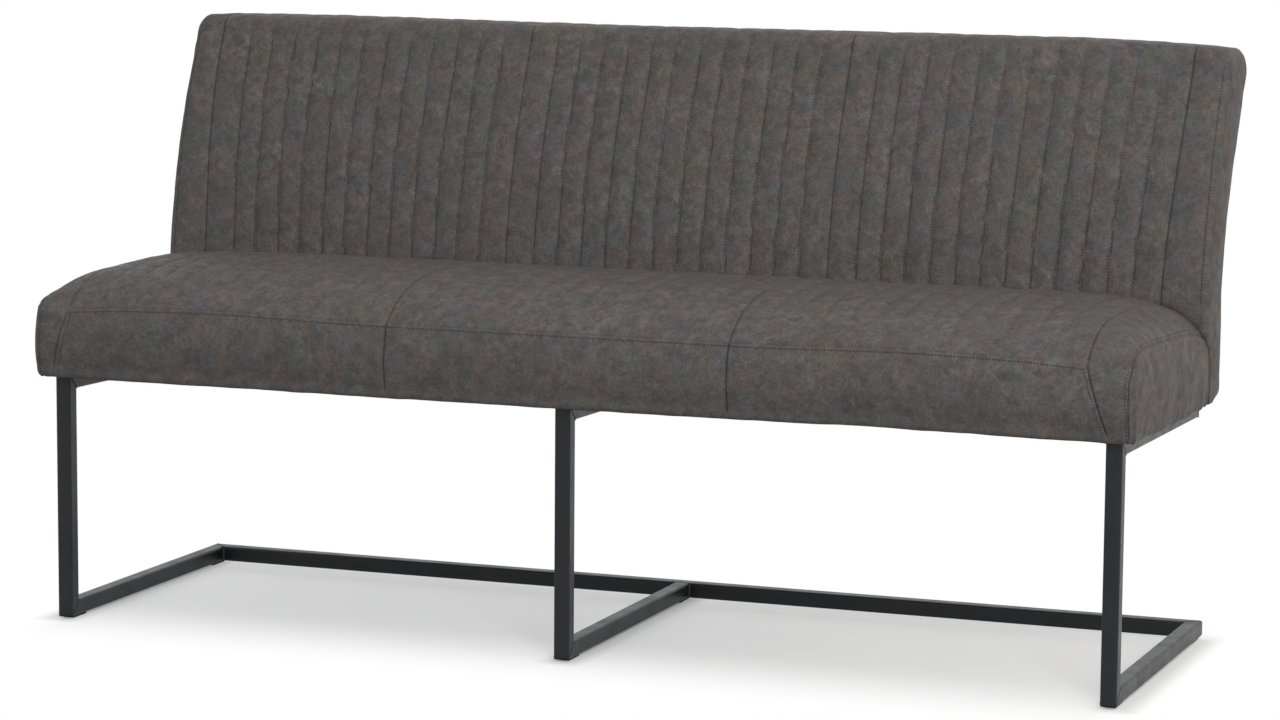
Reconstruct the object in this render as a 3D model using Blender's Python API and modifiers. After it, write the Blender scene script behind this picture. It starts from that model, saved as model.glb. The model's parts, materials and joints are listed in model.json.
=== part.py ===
"""Dining sofa: a channelled, upholstered bench seat and back on a steel sled frame.

Metres, +Z up, +X along the width, -Y towards the sitter's feet. The steel stands level on the floor.
The seat runners and all that they carry, the seat unit, slope down to the rear by SEAT_SLOPE. They are
modelled level in the unit's own frame, whose origin is the front edge of the runners' top face (the
deck), and the unit's empty then tilts them. The finished sofa stands with the middle of its footprint
at the world's origin.
"""
import math

import bmesh
import bpy
from mathutils import Matrix, Vector

# Overall sizes
SOFA_WIDTH = 1.700             # over the upholstery
SIDE_OVERHANG = 0.019          # upholstery past the steel at each side
FRONT_OVERHANG = 0.035         # seat front past the face of the posts
DECK_HEIGHT = 0.380            # floor to the top of the seat runners, at the posts
SEAT_SLOPE = math.radians(1.1)

# Steel frame of square tube
TUBE = 0.024
TUBE_WALL = 0.002
TUBE_RADIUS = 0.003
TUBE_ARC_STEPS = 2
FRAME_DEPTH = 0.539            # post face to the rear face of the floor rail
SEAT_RUNNER_LENGTH = 0.474
END_CAP = 0.003                # plate thickness of a runner's end cap
END_PLUG = 0.015               # how far the cap's plug enters the tube
GLIDE_LENGTH = 0.040
GLIDE_WIDTH = 0.018
GLIDE_HEIGHT = 0.003
GLIDE_BEVEL = 0.001
GLIDE_SETBACK = 0.012          # from the frame's front and rear faces

# Seat, heights above the deck
SEAT_DEPTH = 0.450             # front bulge to the crease at the back
BAND_HEIGHT = 0.103            # seam along the top of the front band
BAND_TUCK = 0.008              # how far that seam and the bottom edge draw in
BOTTOM_ROUND = 0.006           # rounding of the bottom edges
SIDE_SEAM_HEIGHT = 0.127       # boxing seam along the seat's sides
CREST_HEIGHT = 0.178           # top of the crown
CREASE_DROP = 0.020            # crest to the crease at the back
CROWN_ROLL = 0.068             # length over which the crown rolls off to the front and rear
END_ROLL = 0.050               # the same to the sides
CORNER_ROLL = 0.020            # the same for the boxing seam at the front corner
SEAT_EDGE = 0.012              # rounding between the seat's sides and its top
SEAT_ROWS = (0.0, 0.03, 0.07, 0.13, 0.22, 0.38, 0.60, 0.84, 1.0)    # shares of the seat's depth
ROLL_ROWS = (4.0, 2.0, 1.0, 0.5)                                    # in lengths of the end roll
EDGE_ROW = 0.3                 # a rounded end's middle station, as a share of its radius

# Back, heights above the deck
BACK_HEIGHT = 0.531
BACK_THICKNESS = 0.1165
BACK_LEAN = math.radians(5.7)  # lean of the front face at the crease
BACK_CURVE_RADIUS = 0.883      # the lean grows with height along this radius
BACK_FRONT_RADIUS = 0.030      # top edge, front
BACK_REAR_RADIUS = 0.025       # top edge, rear
BACK_EDGE = 0.018              # rounding between the back's ends and its faces
BACK_ARC_STEPS = 2
BACK_STEPS = 7                 # straight stretches that follow the back's curve

# Quilting, the same on seat and back
MIDDLE_PANEL = 0.529           # seam to seam of the middle panel
END_PANEL = 0.067              # plain strip from the last seam to the end
CHANNELS = 13                  # in each of the three panels
EDGE_CHANNEL = 1.15            # a panel's first and last channel, against the others
CHANNEL_DEPTH = 0.004          # at a line of stitches
SEAM_DEPTH = 0.005             # at a seam between panels
CHANNEL_FLANK = 0.9            # how much of half a channel its flank takes up
CHANNEL_START = 0.008          # behind the posts' face, where the seat's channels begin
CHANNEL_FADE = 0.050           # length over which they reach their depth

# Inside the upholstery
COVER = 0.008                  # leather with its quilted wadding
OPENING_HEIGHT = 0.056         # the covers' gap behind the seat, where the ribs pass
RAIL_WIDTH = 0.034
RAIL_HEIGHT = 0.045
WEBBING_WIDTH = 0.060
WEBBING_THICKNESS = 0.0015
WEBBING_COUNT = 6
DUST_COVER = 0.001
PAD_BOTTOM = 0.060             # lower edge of the back foam
PAD_THICKNESS = 0.040          # back foam
PANEL_THICKNESS = 0.003        # hardboard on the ribs
RIB_WIDTH = 0.022
TOP_RAIL_HEIGHT = 0.022
TOP_RAIL_DEPTH = 0.044
TOP_PAD = 0.010                # room over the top rail

# Fasteners
BOLT_RADIUS = 0.004
BOLT_HEAD_RADIUS = 0.0065
BOLT_HEAD_HEIGHT = 0.005
BOLT_END = 0.004               # bolt's end below the tee nut's top face
BOLT_INSET = 0.042             # from the ends of the rail that it goes up into
NUT_WALL = 0.001
NUT_BARREL = 0.012
NUT_FLANGE_RADIUS = 0.010
NUT_FLANGE = 0.0012
SCREW_RADIUS = 0.0025
SCREW_LENGTH = 0.075
SCREW_HEAD_RADIUS = 0.005
SCREW_HEAD_HEIGHT = 0.003
TURNED_STEPS = 12

# Gaps between pieces that touch
CLEARANCE = 0.0003
SOFT_GAP = 0.0005              # foam to its cover

# Places worked out from the sizes
HALF_WIDTH = SOFA_WIDTH / 2
FRAME_HALF = HALF_WIDTH - SIDE_OVERHANG
RUNNER_X = FRAME_HALF - TUBE / 2
SIDES = (("left", -RUNNER_X), ("middle", 0.0), ("right", RUNNER_X))
FRAME_BOTTOM = GLIDE_HEIGHT + CLEARANCE
CREASE_Y = SEAT_DEPTH - FRONT_OVERHANG
CREASE_HEIGHT = CREST_HEIGHT - CREASE_DROP
LEAN = math.tan(BACK_LEAN)
UPRIGHT = -LEAN * BACK_CURVE_RADIUS                 # below the crease, where the back stands upright
SEAT_REAR = CREASE_Y + LEAN * UPRIGHT / 2 - CLEARANCE
SEAT_SEAM_Y = BAND_TUCK - FRONT_OVERHANG         # the front band's top seam
RAIL_BOTTOM = CLEARANCE + DUST_COVER + CLEARANCE
RAIL_TOP = RAIL_BOTTOM + RAIL_HEIGHT
WEBBING_BOTTOM = RAIL_TOP + CLEARANCE
SEAT_PAD_BOTTOM = WEBBING_BOTTOM + max(WEBBING_THICKNESS, NUT_FLANGE) + CLEARANCE
SIDE_RAIL = (RAIL_WIDTH + CLEARANCE, SEAT_REAR - RAIL_WIDTH - CLEARANCE)      # its front and rear ends
BOLT_PLACES = (("front", SIDE_RAIL[0] + BOLT_INSET), ("rear", SIDE_RAIL[1] - BOLT_INSET))
RAIL_OUTER_X = RUNNER_X + RAIL_WIDTH / 2
RIB_OUTER_X = RUNNER_X + RIB_WIDTH / 2
OPENING_HALF = max(RAIL_OUTER_X, RIB_OUTER_X) + CLEARANCE
RIB_TOP = BACK_HEIGHT - COVER - TOP_PAD - TOP_RAIL_HEIGHT - CLEARANCE
FRONT_PANEL_OFFSET = COVER + SOFT_GAP + PAD_THICKNESS + CLEARANCE
RIB_FRONT_OFFSET = FRONT_PANEL_OFFSET + PANEL_THICKNESS + CLEARANCE
REAR_PANEL_OFFSET = BACK_THICKNESS - COVER - CLEARANCE - PANEL_THICKNESS
RIB_REAR_OFFSET = REAR_PANEL_OFFSET - CLEARANCE
BACK_LEVELS = [PAD_BOTTOM + (RIB_TOP - PAD_BOTTOM) * i / BACK_STEPS for i in range(BACK_STEPS + 1)]
PAST = 0.030                   # how far cutters reach past what they cut
WELD = 0.000001                # points closer than this are one point


def clear_scene():
    for item in list(bpy.data.objects):
        bpy.data.objects.remove(item, do_unlink=True)


def new_collection(name):
    collection = bpy.data.collections.new(name)
    bpy.context.scene.collection.children.link(collection)
    return collection


def finish(name, colour, roughness, metallic=0.0):
    material = bpy.data.materials.new(name)
    material.use_nodes = True
    shader = material.node_tree.nodes["Principled BSDF"]
    shader.inputs["Base Color"].default_value = (*colour, 1.0)
    shader.inputs["Roughness"].default_value = roughness
    shader.inputs["Metallic"].default_value = metallic
    return material


def place(name, mesh, parent, material):
    """Add one sub-part, with its mesh in its parent's frame."""
    part = bpy.data.objects.new(name, mesh)
    part.data.materials.append(material)
    part.parent = parent
    parts.objects.link(part)
    return part


def as_mesh(name, bm):
    bmesh.ops.recalc_face_normals(bm, faces=bm.faces)
    mesh = bpy.data.meshes.new(name)
    bm.to_mesh(mesh)
    bm.free()
    return mesh


def box(low, high, bevel=0.0):
    """A box between two corners, with its edges bevelled if a width is given."""
    bm = bmesh.new()
    low, high = Vector(low), Vector(high)
    bmesh.ops.create_cube(bm, size=1.0)
    bmesh.ops.scale(bm, vec=high - low, verts=bm.verts)
    bmesh.ops.translate(bm, vec=(low + high) / 2, verts=bm.verts)
    if bevel:
        bmesh.ops.bevel(bm, geom=bm.edges, offset=bevel, segments=1, profile=0.5, affect="EDGES")
    return bm


def cylinder(radius, start, end):
    bm = bmesh.new()
    axis = Vector(end) - Vector(start)
    bmesh.ops.create_cone(bm, cap_ends=True, segments=TURNED_STEPS, radius1=radius, radius2=radius,
                          depth=axis.length)
    turn = Vector((0, 0, 1)).rotation_difference(axis).to_matrix()
    bmesh.ops.rotate(bm, matrix=turn, verts=bm.verts)
    bmesh.ops.translate(bm, vec=(Vector(start) + Vector(end)) / 2, verts=bm.verts)
    return bm


def cut_away(part, name, bm):
    """Cut one shape out of a part, with a hidden cutter in the part's own frame."""
    cutter = bpy.data.objects.new(name, as_mesh(name, bm))
    cutter.parent = part.parent
    cutter.display_type = "WIRE"
    cutter.hide_render = True
    cutters.objects.link(cutter)
    boolean = part.modifiers.new(name, "BOOLEAN")
    boolean.operation = "DIFFERENCE"
    boolean.object = cutter


def outline_solid(outlines, depth):
    """Fill flat outlines, later ones being holes, and give them a depth along +Z."""
    curve = bpy.data.curves.new("outline", "CURVE")
    curve.dimensions = "2D"
    curve.fill_mode = "BOTH"
    curve.extrude = depth / 2
    for outline in outlines:
        spline = curve.splines.new("POLY")
        spline.points.add(len(outline) - 1)
        for point, (u, v) in zip(spline.points, outline):
            point.co = (u, v, 0.0, 1.0)
        spline.use_cyclic_u = True
    carrier = bpy.data.objects.new("outline", curve)
    parts.objects.link(carrier)
    drawn = carrier.evaluated_get(bpy.context.evaluated_depsgraph_get())
    mesh = bpy.data.meshes.new_from_object(drawn)
    bm = bmesh.new()
    bm.from_mesh(mesh)
    bpy.data.objects.remove(carrier)
    bpy.data.curves.remove(curve)
    bpy.data.meshes.remove(mesh)
    bmesh.ops.remove_doubles(bm, verts=bm.verts, dist=WELD)
    bmesh.ops.translate(bm, vec=(0, 0, depth / 2), verts=bm.verts)
    return bm


def rounded_square(side, radius):
    """Corner arcs of a square about the origin."""
    points = []
    for quarter in range(4):
        middle = math.pi / 4 + quarter * math.pi / 2
        across = (side / 2 - radius) * math.sqrt(2)
        for step in range(TUBE_ARC_STEPS + 1):
            angle = quarter * math.pi / 2 + step * math.pi / 2 / TUBE_ARC_STEPS
            u = across * math.cos(middle) + radius * math.cos(angle)
            v = across * math.sin(middle) + radius * math.sin(angle)
            points.append((u, v))
    return points


def tube(start, end):
    """Square tube between two points on its centre line, a little long for its mitres."""
    inner = TUBE - 2 * TUBE_WALL
    inner_radius = max(TUBE_RADIUS - TUBE_WALL, CLEARANCE)
    start, end = Vector(start), Vector(end)
    along = (end - start).normalized()
    bm = outline_solid([rounded_square(TUBE, TUBE_RADIUS), rounded_square(inner, inner_radius)],
                       (end - start).length)
    turn = Vector((0, 0, 1)).rotation_difference(along).to_matrix()
    bmesh.ops.rotate(bm, matrix=turn, verts=bm.verts)
    bmesh.ops.translate(bm, vec=start, verts=bm.verts)
    return bm


def mitre(bm, corner, normal):
    """Cut a tube at a plane through its outer corner, and close the wall there."""
    normal = Vector(normal).normalized()
    everything = bm.verts[:] + bm.edges[:] + bm.faces[:]
    cut = bmesh.ops.bisect_plane(bm, geom=everything, dist=WELD, clear_outer=True,
                                 plane_co=Vector(corner) - normal * CLEARANCE / 2, plane_no=normal)
    rims = [item for item in cut["geom_cut"] if isinstance(item, bmesh.types.BMEdge)]
    bmesh.ops.bridge_loops(bm, edges=rims)


def wrapped_solid(stations, section):
    """Wrap a grid round the closed section found at each station along X, and cap its ends."""
    rings = [section(x) for x in stations]
    around = len(rings[0])
    bm = bmesh.new()
    bmesh.ops.create_grid(bm, x_segments=len(stations) - 1, y_segments=around, size=1.0)
    for vert in bm.verts:
        i = round((vert.co.x + 1) / 2 * (len(stations) - 1))
        j = round((vert.co.y + 1) / 2 * around) % around
        vert.co = (stations[i], *rings[i][j])
    bmesh.ops.remove_doubles(bm, verts=bm.verts, dist=WELD)
    bmesh.ops.holes_fill(bm, edges=[edge for edge in bm.edges if edge.is_boundary])
    return bm


def turned(name, profile, parent, material, matrix):
    """A turned piece: its profile in the XZ plane, spun about Z by a Screw modifier."""
    mesh = bpy.data.meshes.new(name)
    mesh.from_pydata([(r, 0, z) for r, z in profile], [(i, i + 1) for i in range(len(profile) - 1)], [])
    part = place(name, mesh, parent, material)
    part.matrix_local = matrix
    screw = part.modifiers.new("turn", "SCREW")
    screw.steps = TURNED_STEPS
    screw.render_steps = TURNED_STEPS
    screw.use_merge_vertices = True
    screw.merge_threshold = WELD
    return part


def channel_width(panel):
    return panel / (CHANNELS - 2 + 2 * EDGE_CHANNEL)


def quilt_lines():
    """Every sewn line along X, as (x, depth): panel seams and the lines of stitches between them."""
    quilt_half = HALF_WIDTH - END_PANEL
    seams = [-quilt_half, -MIDDLE_PANEL / 2, MIDDLE_PANEL / 2, quilt_half]
    lines = [(x, SEAM_DEPTH) for x in seams]
    for left, right in zip(seams, seams[1:]):
        pitch = channel_width(right - left)
        lines += [(left + pitch * (EDGE_CHANNEL + i), CHANNEL_DEPTH) for i in range(CHANNELS - 1)]
    return sorted(lines)


LINES = quilt_lines()
HALF_CHANNEL = channel_width(MIDDLE_PANEL) / 2


def sewn_depth(x, seams_only=False):
    """How far the cover is drawn in at x."""
    at, depth = min(LINES, key=lambda line: abs(line[0] - x))
    if seams_only and depth < SEAM_DEPTH:
        return 0.0
    return depth * max(0.0, 1 - abs(at - x) / (HALF_CHANNEL * CHANNEL_FLANK))


def end_stations(half, edge):
    """Stations for the rounded edge at one end, outermost last."""
    return [half - edge, half - EDGE_ROW * edge, half]


def quilt_stations(edge):
    """Stations at every sewn line, at the crest of every channel and round both ends."""
    at = [x for x, _ in LINES]
    crests = [(a + b) / 2 for a, b in zip(at, at[1:])]
    beside = [at[0] - HALF_CHANNEL, at[-1] + HALF_CHANNEL]
    ends = end_stations(HALF_WIDTH, edge)
    return sorted(at + crests + beside + ends + [-x for x in ends])


def plain_stations(half, edge):
    """Few stations, closer together towards both ends where the crown rolls off."""
    at = [half - END_ROLL * rolls for rolls in ROLL_ROWS] + end_stations(half, edge)
    return [-x for x in reversed(at)] + at


def tuck(x, half, edge):
    """How far a rounded edge has drawn in at x, from nothing to the edge's own radius."""
    past = max(0.0, abs(x) - (half - edge)) / edge
    return edge * (1 - math.sqrt(max(0.0, 1 - past * past)))


def ramp(value, start, length):
    share = min(1.0, max(0.0, (value - start) / length))
    return share * share * (3 - 2 * share)


def seat_top(x, y):
    """Height of the crowned seat, without its channels."""
    from_front = math.exp(-(y - SEAT_SEAM_Y) / CROWN_ROLL)
    from_rear = math.exp(-(SEAT_REAR - y) / CROWN_ROLL)
    crown = CREST_HEIGHT - (CREST_HEIGHT - BAND_HEIGHT) * from_front - CREASE_DROP * from_rear
    at_corner = math.exp(-(y - SEAT_SEAM_Y) / CORNER_ROLL)
    side = SIDE_SEAM_HEIGHT - (SIDE_SEAM_HEIGHT - BAND_HEIGHT) * at_corner
    return side + (crown - side) * (1 - math.exp(-(HALF_WIDTH - abs(x)) / END_ROLL))


def seat_section(inset, bottom, quilted):
    """The seat's closed section in Y and Z, drawn in by an inset, as a function of x."""
    half = HALF_WIDTH - inset

    def section(x):
        edge = tuck(x, half, SEAT_EDGE)
        rear = SEAT_REAR - inset
        seam_y = SEAT_SEAM_Y + inset + edge
        bulge_y = inset + edge - FRONT_OVERHANG
        pulled = sewn_depth(x, seams_only=True) if quilted else 0.0
        low = bottom + edge / 2 if quilted else bottom
        points = [(rear, low), (seam_y + BOTTOM_ROUND, low), (seam_y, low + BOTTOM_ROUND)]
        points.append((bulge_y + pulled, BAND_HEIGHT / 2))
        for share in SEAT_ROWS:
            y = seam_y + (rear - seam_y) * share
            sunk = sewn_depth(x) * ramp(y, CHANNEL_START, CHANNEL_FADE) if quilted else 0.0
            sunk = max(sunk, pulled)
            points.append((y, seat_top(x, y) - inset - edge - sunk))
        return points

    return section


def back_front(z):
    """The back's front face: upright behind the seat, then leaning further with height."""
    up = max(z - CREASE_HEIGHT, UPRIGHT)
    return CREASE_Y + LEAN * up + up * up / (2 * BACK_CURVE_RADIUS)


def back_section(inset, bottom, quilted):
    """The back's closed section in Y and Z, drawn in by an inset, as a function of x."""
    half = HALF_WIDTH - inset

    def arc(centre_y, centre_z, radius, first):
        """Points over a quarter of the top edge, clockwise from an angle, end points included."""
        angles = [first - math.pi / 2 * i / BACK_ARC_STEPS for i in range(BACK_ARC_STEPS + 1)]
        return [(centre_y + radius * math.cos(a), centre_z + radius * math.sin(a)) for a in angles]

    def section(x):
        edge = tuck(x, half, BACK_EDGE)
        low = bottom + edge / 2 if quilted else bottom
        front_z = BACK_HEIGHT - BACK_FRONT_RADIUS - edge
        rear_z = BACK_HEIGHT - BACK_REAR_RADIUS - edge
        sewn = sewn_depth(x) if quilted else 0.0
        points = [(back_front(low) + inset + edge, low)]
        for z in BACK_LEVELS:
            sunk = sewn if z > CREASE_HEIGHT - HALF_CHANNEL else 0.0
            points.append((back_front(z) + inset + edge + sunk, z - edge))
        centre = back_front(front_z) + BACK_FRONT_RADIUS + edge + sewn / 2
        points += arc(centre, front_z, BACK_FRONT_RADIUS - inset, math.pi)
        centre = back_front(rear_z) + BACK_THICKNESS - BACK_REAR_RADIUS - edge
        points += arc(centre, rear_z, BACK_REAR_RADIUS - inset, math.pi / 2)
        for z in reversed(BACK_LEVELS):
            points.append((back_front(z) + BACK_THICKNESS - inset - edge, z - edge))
        rear = back_front(low) + BACK_THICKNESS - inset - edge
        points += [(rear, low + BOTTOM_ROUND), (rear - BOTTOM_ROUND, low)]
        return points

    return section


def layer(front, thickness):
    """Outline of a curved sheet that follows the back at a depth behind its front face."""
    nearer = [(back_front(z) + front, z) for z in BACK_LEVELS]
    further = [(back_front(z) + front + thickness, z) for z in reversed(BACK_LEVELS)]
    return nearer + further


def build_steel(sofa, unit, steel, plastic):
    """Posts, runners and rail, with mitres at the corners, then end caps and floor glides."""
    axis_z = FRAME_BOTTOM + TUBE / 2
    half_corner = math.pi / 4 - SEAT_SLOPE / 2
    over = (0, math.cos(half_corner), math.sin(half_corner))         # out of the post, at its top
    for side, x in SIDES:
        post = tube((x, TUBE / 2, 0), (x, TUBE / 2, DECK_HEIGHT + TUBE))
        mitre(post, (x, 0, DECK_HEIGHT), over)
        mitre(post, (x, 0, FRAME_BOTTOM), (0, 1, -1))
        place("front_post_" + side, as_mesh("front_post_" + side, post), sofa, steel)

        end_y = FRAME_DEPTH - TUBE - CLEARANCE if side == "middle" else FRAME_DEPTH + TUBE
        runner = tube((x, -TUBE, axis_z), (x, end_y, axis_z))
        mitre(runner, (x, 0, FRAME_BOTTOM), (0, -1, 1))
        if side != "middle":
            outward = math.copysign(1, x)
            mitre(runner, (FRAME_HALF * outward, FRAME_DEPTH, axis_z), (-outward, 1, 0))
        place("floor_runner_" + side, as_mesh("floor_runner_" + side, runner), sofa, steel)

        carrier = tube((x, -TUBE, -TUBE / 2), (x, SEAT_RUNNER_LENGTH, -TUBE / 2))
        lean = (0, -math.cos(half_corner + SEAT_SLOPE), -math.sin(half_corner + SEAT_SLOPE))
        mitre(carrier, (x, 0, 0), lean)
        part = place("seat_runner_" + side, as_mesh("seat_runner_" + side, carrier), unit, steel)
        for _, y in BOLT_PLACES:
            inside = (x, y, -TUBE / 2)
            cut_away(part, "bolt_hole", cylinder(BOLT_RADIUS + CLEARANCE, inside, (x, y, PAST)))
            access = cylinder(BOLT_HEAD_RADIUS + CLEARANCE, (x, y, -TUBE - PAST), inside)
            cut_away(part, "access_hole", access)

        place("runner_end_cap_" + side, end_cap(x), unit, plastic)
        for end, y in (("front", GLIDE_SETBACK), ("rear", FRAME_DEPTH - GLIDE_SETBACK - GLIDE_LENGTH)):
            name = "floor_glide_" + end + "_" + side
            pad = box((x - GLIDE_WIDTH / 2, y, 0), (x + GLIDE_WIDTH / 2, y + GLIDE_LENGTH, GLIDE_HEIGHT),
                      GLIDE_BEVEL)
            place(name, as_mesh(name, pad), sofa, plastic)

    rail_y = FRAME_DEPTH - TUBE / 2
    rail = tube((-HALF_WIDTH, rail_y, axis_z), (HALF_WIDTH, rail_y, axis_z))
    for outward in (-1, 1):
        mitre(rail, (FRAME_HALF * outward, FRAME_DEPTH, axis_z), (outward, -1, 0))
    place("rear_floor_rail", as_mesh("rear_floor_rail", rail), sofa, steel)


def end_cap(x):
    """A plate on the tube's end, with a plug that fits its bore."""
    face = SEAT_RUNNER_LENGTH + CLEARANCE
    bm = box((x - TUBE / 2, face, -TUBE), (x + TUBE / 2, face + END_CAP, 0))
    inner_face = min(bm.faces, key=lambda item: item.calc_center_median().y)
    bmesh.ops.inset_region(bm, faces=[inner_face], thickness=TUBE_WALL + TUBE_RADIUS / 2)
    grown = bmesh.ops.extrude_face_region(bm, geom=[inner_face])
    tip = [item for item in grown["geom"] if isinstance(item, bmesh.types.BMVert)]
    bmesh.ops.translate(bm, vec=(0, -END_PLUG, 0), verts=tip)
    bmesh.ops.delete(bm, geom=[inner_face], context="FACES_ONLY")
    return as_mesh("end_cap", bm)


def build_seat(unit, timber, web, foam, leather, cloth, zinc):
    """Rails, webbing, foam, quilted cover and dust cover, with the bolts that hold the runners."""
    rail_front = (0.0, RAIL_WIDTH)
    rail_rear = (SEAT_REAR - RAIL_WIDTH, SEAT_REAR)

    def rail(name, x_span, y_span):
        bm = box((x_span[0], y_span[0], RAIL_BOTTOM), (x_span[1], y_span[1], RAIL_TOP))
        return place(name, as_mesh(name, bm), unit, timber)

    rail("seat_front_rail", (-RAIL_OUTER_X, RAIL_OUTER_X), rail_front)
    rear = rail("seat_rear_rail", (-RAIL_OUTER_X, RAIL_OUTER_X), rail_rear)
    sheet = box((-RIB_OUTER_X, rail_front[0], CLEARANCE),
                (RIB_OUTER_X, rib_rear(RAIL_BOTTOM), CLEARANCE + DUST_COVER))
    dust = place("dust_cover", as_mesh("dust_cover", sheet), unit, cloth)

    for side, x in SIDES:
        beam = rail("seat_" + side + "_rail", (x - RAIL_WIDTH / 2, x + RAIL_WIDTH / 2), SIDE_RAIL)
        for end, y in BOLT_PLACES:
            bore = BOLT_RADIUS + CLEARANCE
            nut = bore + NUT_WALL
            cut_away(beam, "nut_hole", cylinder(nut + CLEARANCE, (x, y, -PAST), (x, y, RAIL_TOP + PAST)))
            cut_away(dust, "bolt_hole", cylinder(bore, (x, y, -PAST), (x, y, PAST)))
            seat_bolt(end + "_" + side, x, y, unit, zinc)
            tee_nut(end + "_" + side, x, y, unit, zinc)

    clear_span = RUNNER_X - RAIL_WIDTH
    webbing_end = SEAT_REAR - COVER - CLEARANCE
    for i in range(WEBBING_COUNT):
        x = (2 * (i + 0.5) / WEBBING_COUNT - 1) * clear_span
        strap = box((x - WEBBING_WIDTH / 2, rail_front[0], WEBBING_BOTTOM),
                    (x + WEBBING_WIDTH / 2, webbing_end, WEBBING_BOTTOM + WEBBING_THICKNESS))
        name = "webbing_" + str(i + 1)
        place(name, as_mesh(name, strap), unit, web)

    inset = COVER + SOFT_GAP
    pad = wrapped_solid(plain_stations(HALF_WIDTH - inset, SEAT_EDGE),
                        seat_section(inset, RAIL_BOTTOM, False))
    part = place("seat_foam", as_mesh("seat_foam", pad), unit, foam)
    core = box((-RAIL_OUTER_X - CLEARANCE, rail_front[0] - CLEARANCE, -PAST),
               (RAIL_OUTER_X + CLEARANCE, SEAT_REAR + PAST, SEAT_PAD_BOTTOM))
    cut_away(part, "frame_room", core)

    skin = wrapped_solid(quilt_stations(SEAT_EDGE), seat_section(0.0, CLEARANCE, True))
    part = place("seat_cover", as_mesh("seat_cover", skin), unit, leather)
    hollow = wrapped_solid(plain_stations(HALF_WIDTH - COVER, SEAT_EDGE),
                           seat_section(COVER, -PAST, False))
    cut_away(part, "seat_hollow", hollow)
    gap = box((-OPENING_HALF, SEAT_REAR - COVER - PAST, -PAST),
              (OPENING_HALF, SEAT_REAR + PAST, OPENING_HEIGHT))
    cut_away(part, "seat_opening", gap)
    return rear


def seat_bolt(name, x, y, unit, zinc):
    """A bolt up through the runner's top wall and the rail, its head inside the runner."""
    head_top = -TUBE_WALL - CLEARANCE
    tip = RAIL_TOP - BOLT_END
    profile = [(0, tip), (BOLT_RADIUS, tip), (BOLT_RADIUS, head_top), (BOLT_HEAD_RADIUS, head_top),
               (BOLT_HEAD_RADIUS, head_top - BOLT_HEAD_HEIGHT), (0, head_top - BOLT_HEAD_HEIGHT)]
    turned("seat_bolt_" + name, profile, unit, zinc, Matrix.Translation((x, y, 0)))


def tee_nut(name, x, y, unit, zinc):
    """A tee nut pressed into the rail from above, round the bolt's end."""
    bore = BOLT_RADIUS + CLEARANCE
    barrel = bore + NUT_WALL
    under = RAIL_TOP + CLEARANCE
    top = under + NUT_FLANGE
    profile = [(bore, top), (NUT_FLANGE_RADIUS, top), (NUT_FLANGE_RADIUS, under), (barrel, under),
               (barrel, under - NUT_BARREL), (bore, under - NUT_BARREL), (bore, top)]
    turned("tee_nut_" + name, profile, unit, zinc, Matrix.Translation((x, y, 0)))


def rib_rear(z):
    return back_front(z) + RIB_REAR_OFFSET


def rib_outline():
    """A rib's outline in Y and Z: a foot behind the seat's rear rail, then the back's curve."""
    foot = SEAT_REAR + CLEARANCE
    neck = back_front(BACK_LEVELS[0]) + RIB_FRONT_OFFSET
    points = [(foot, RAIL_BOTTOM), (foot, RAIL_TOP), (neck, RAIL_TOP)]
    points += layer(RIB_FRONT_OFFSET, RIB_REAR_OFFSET - RIB_FRONT_OFFSET)
    points.append((rib_rear(RAIL_BOTTOM), RAIL_BOTTOM))
    return points


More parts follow.
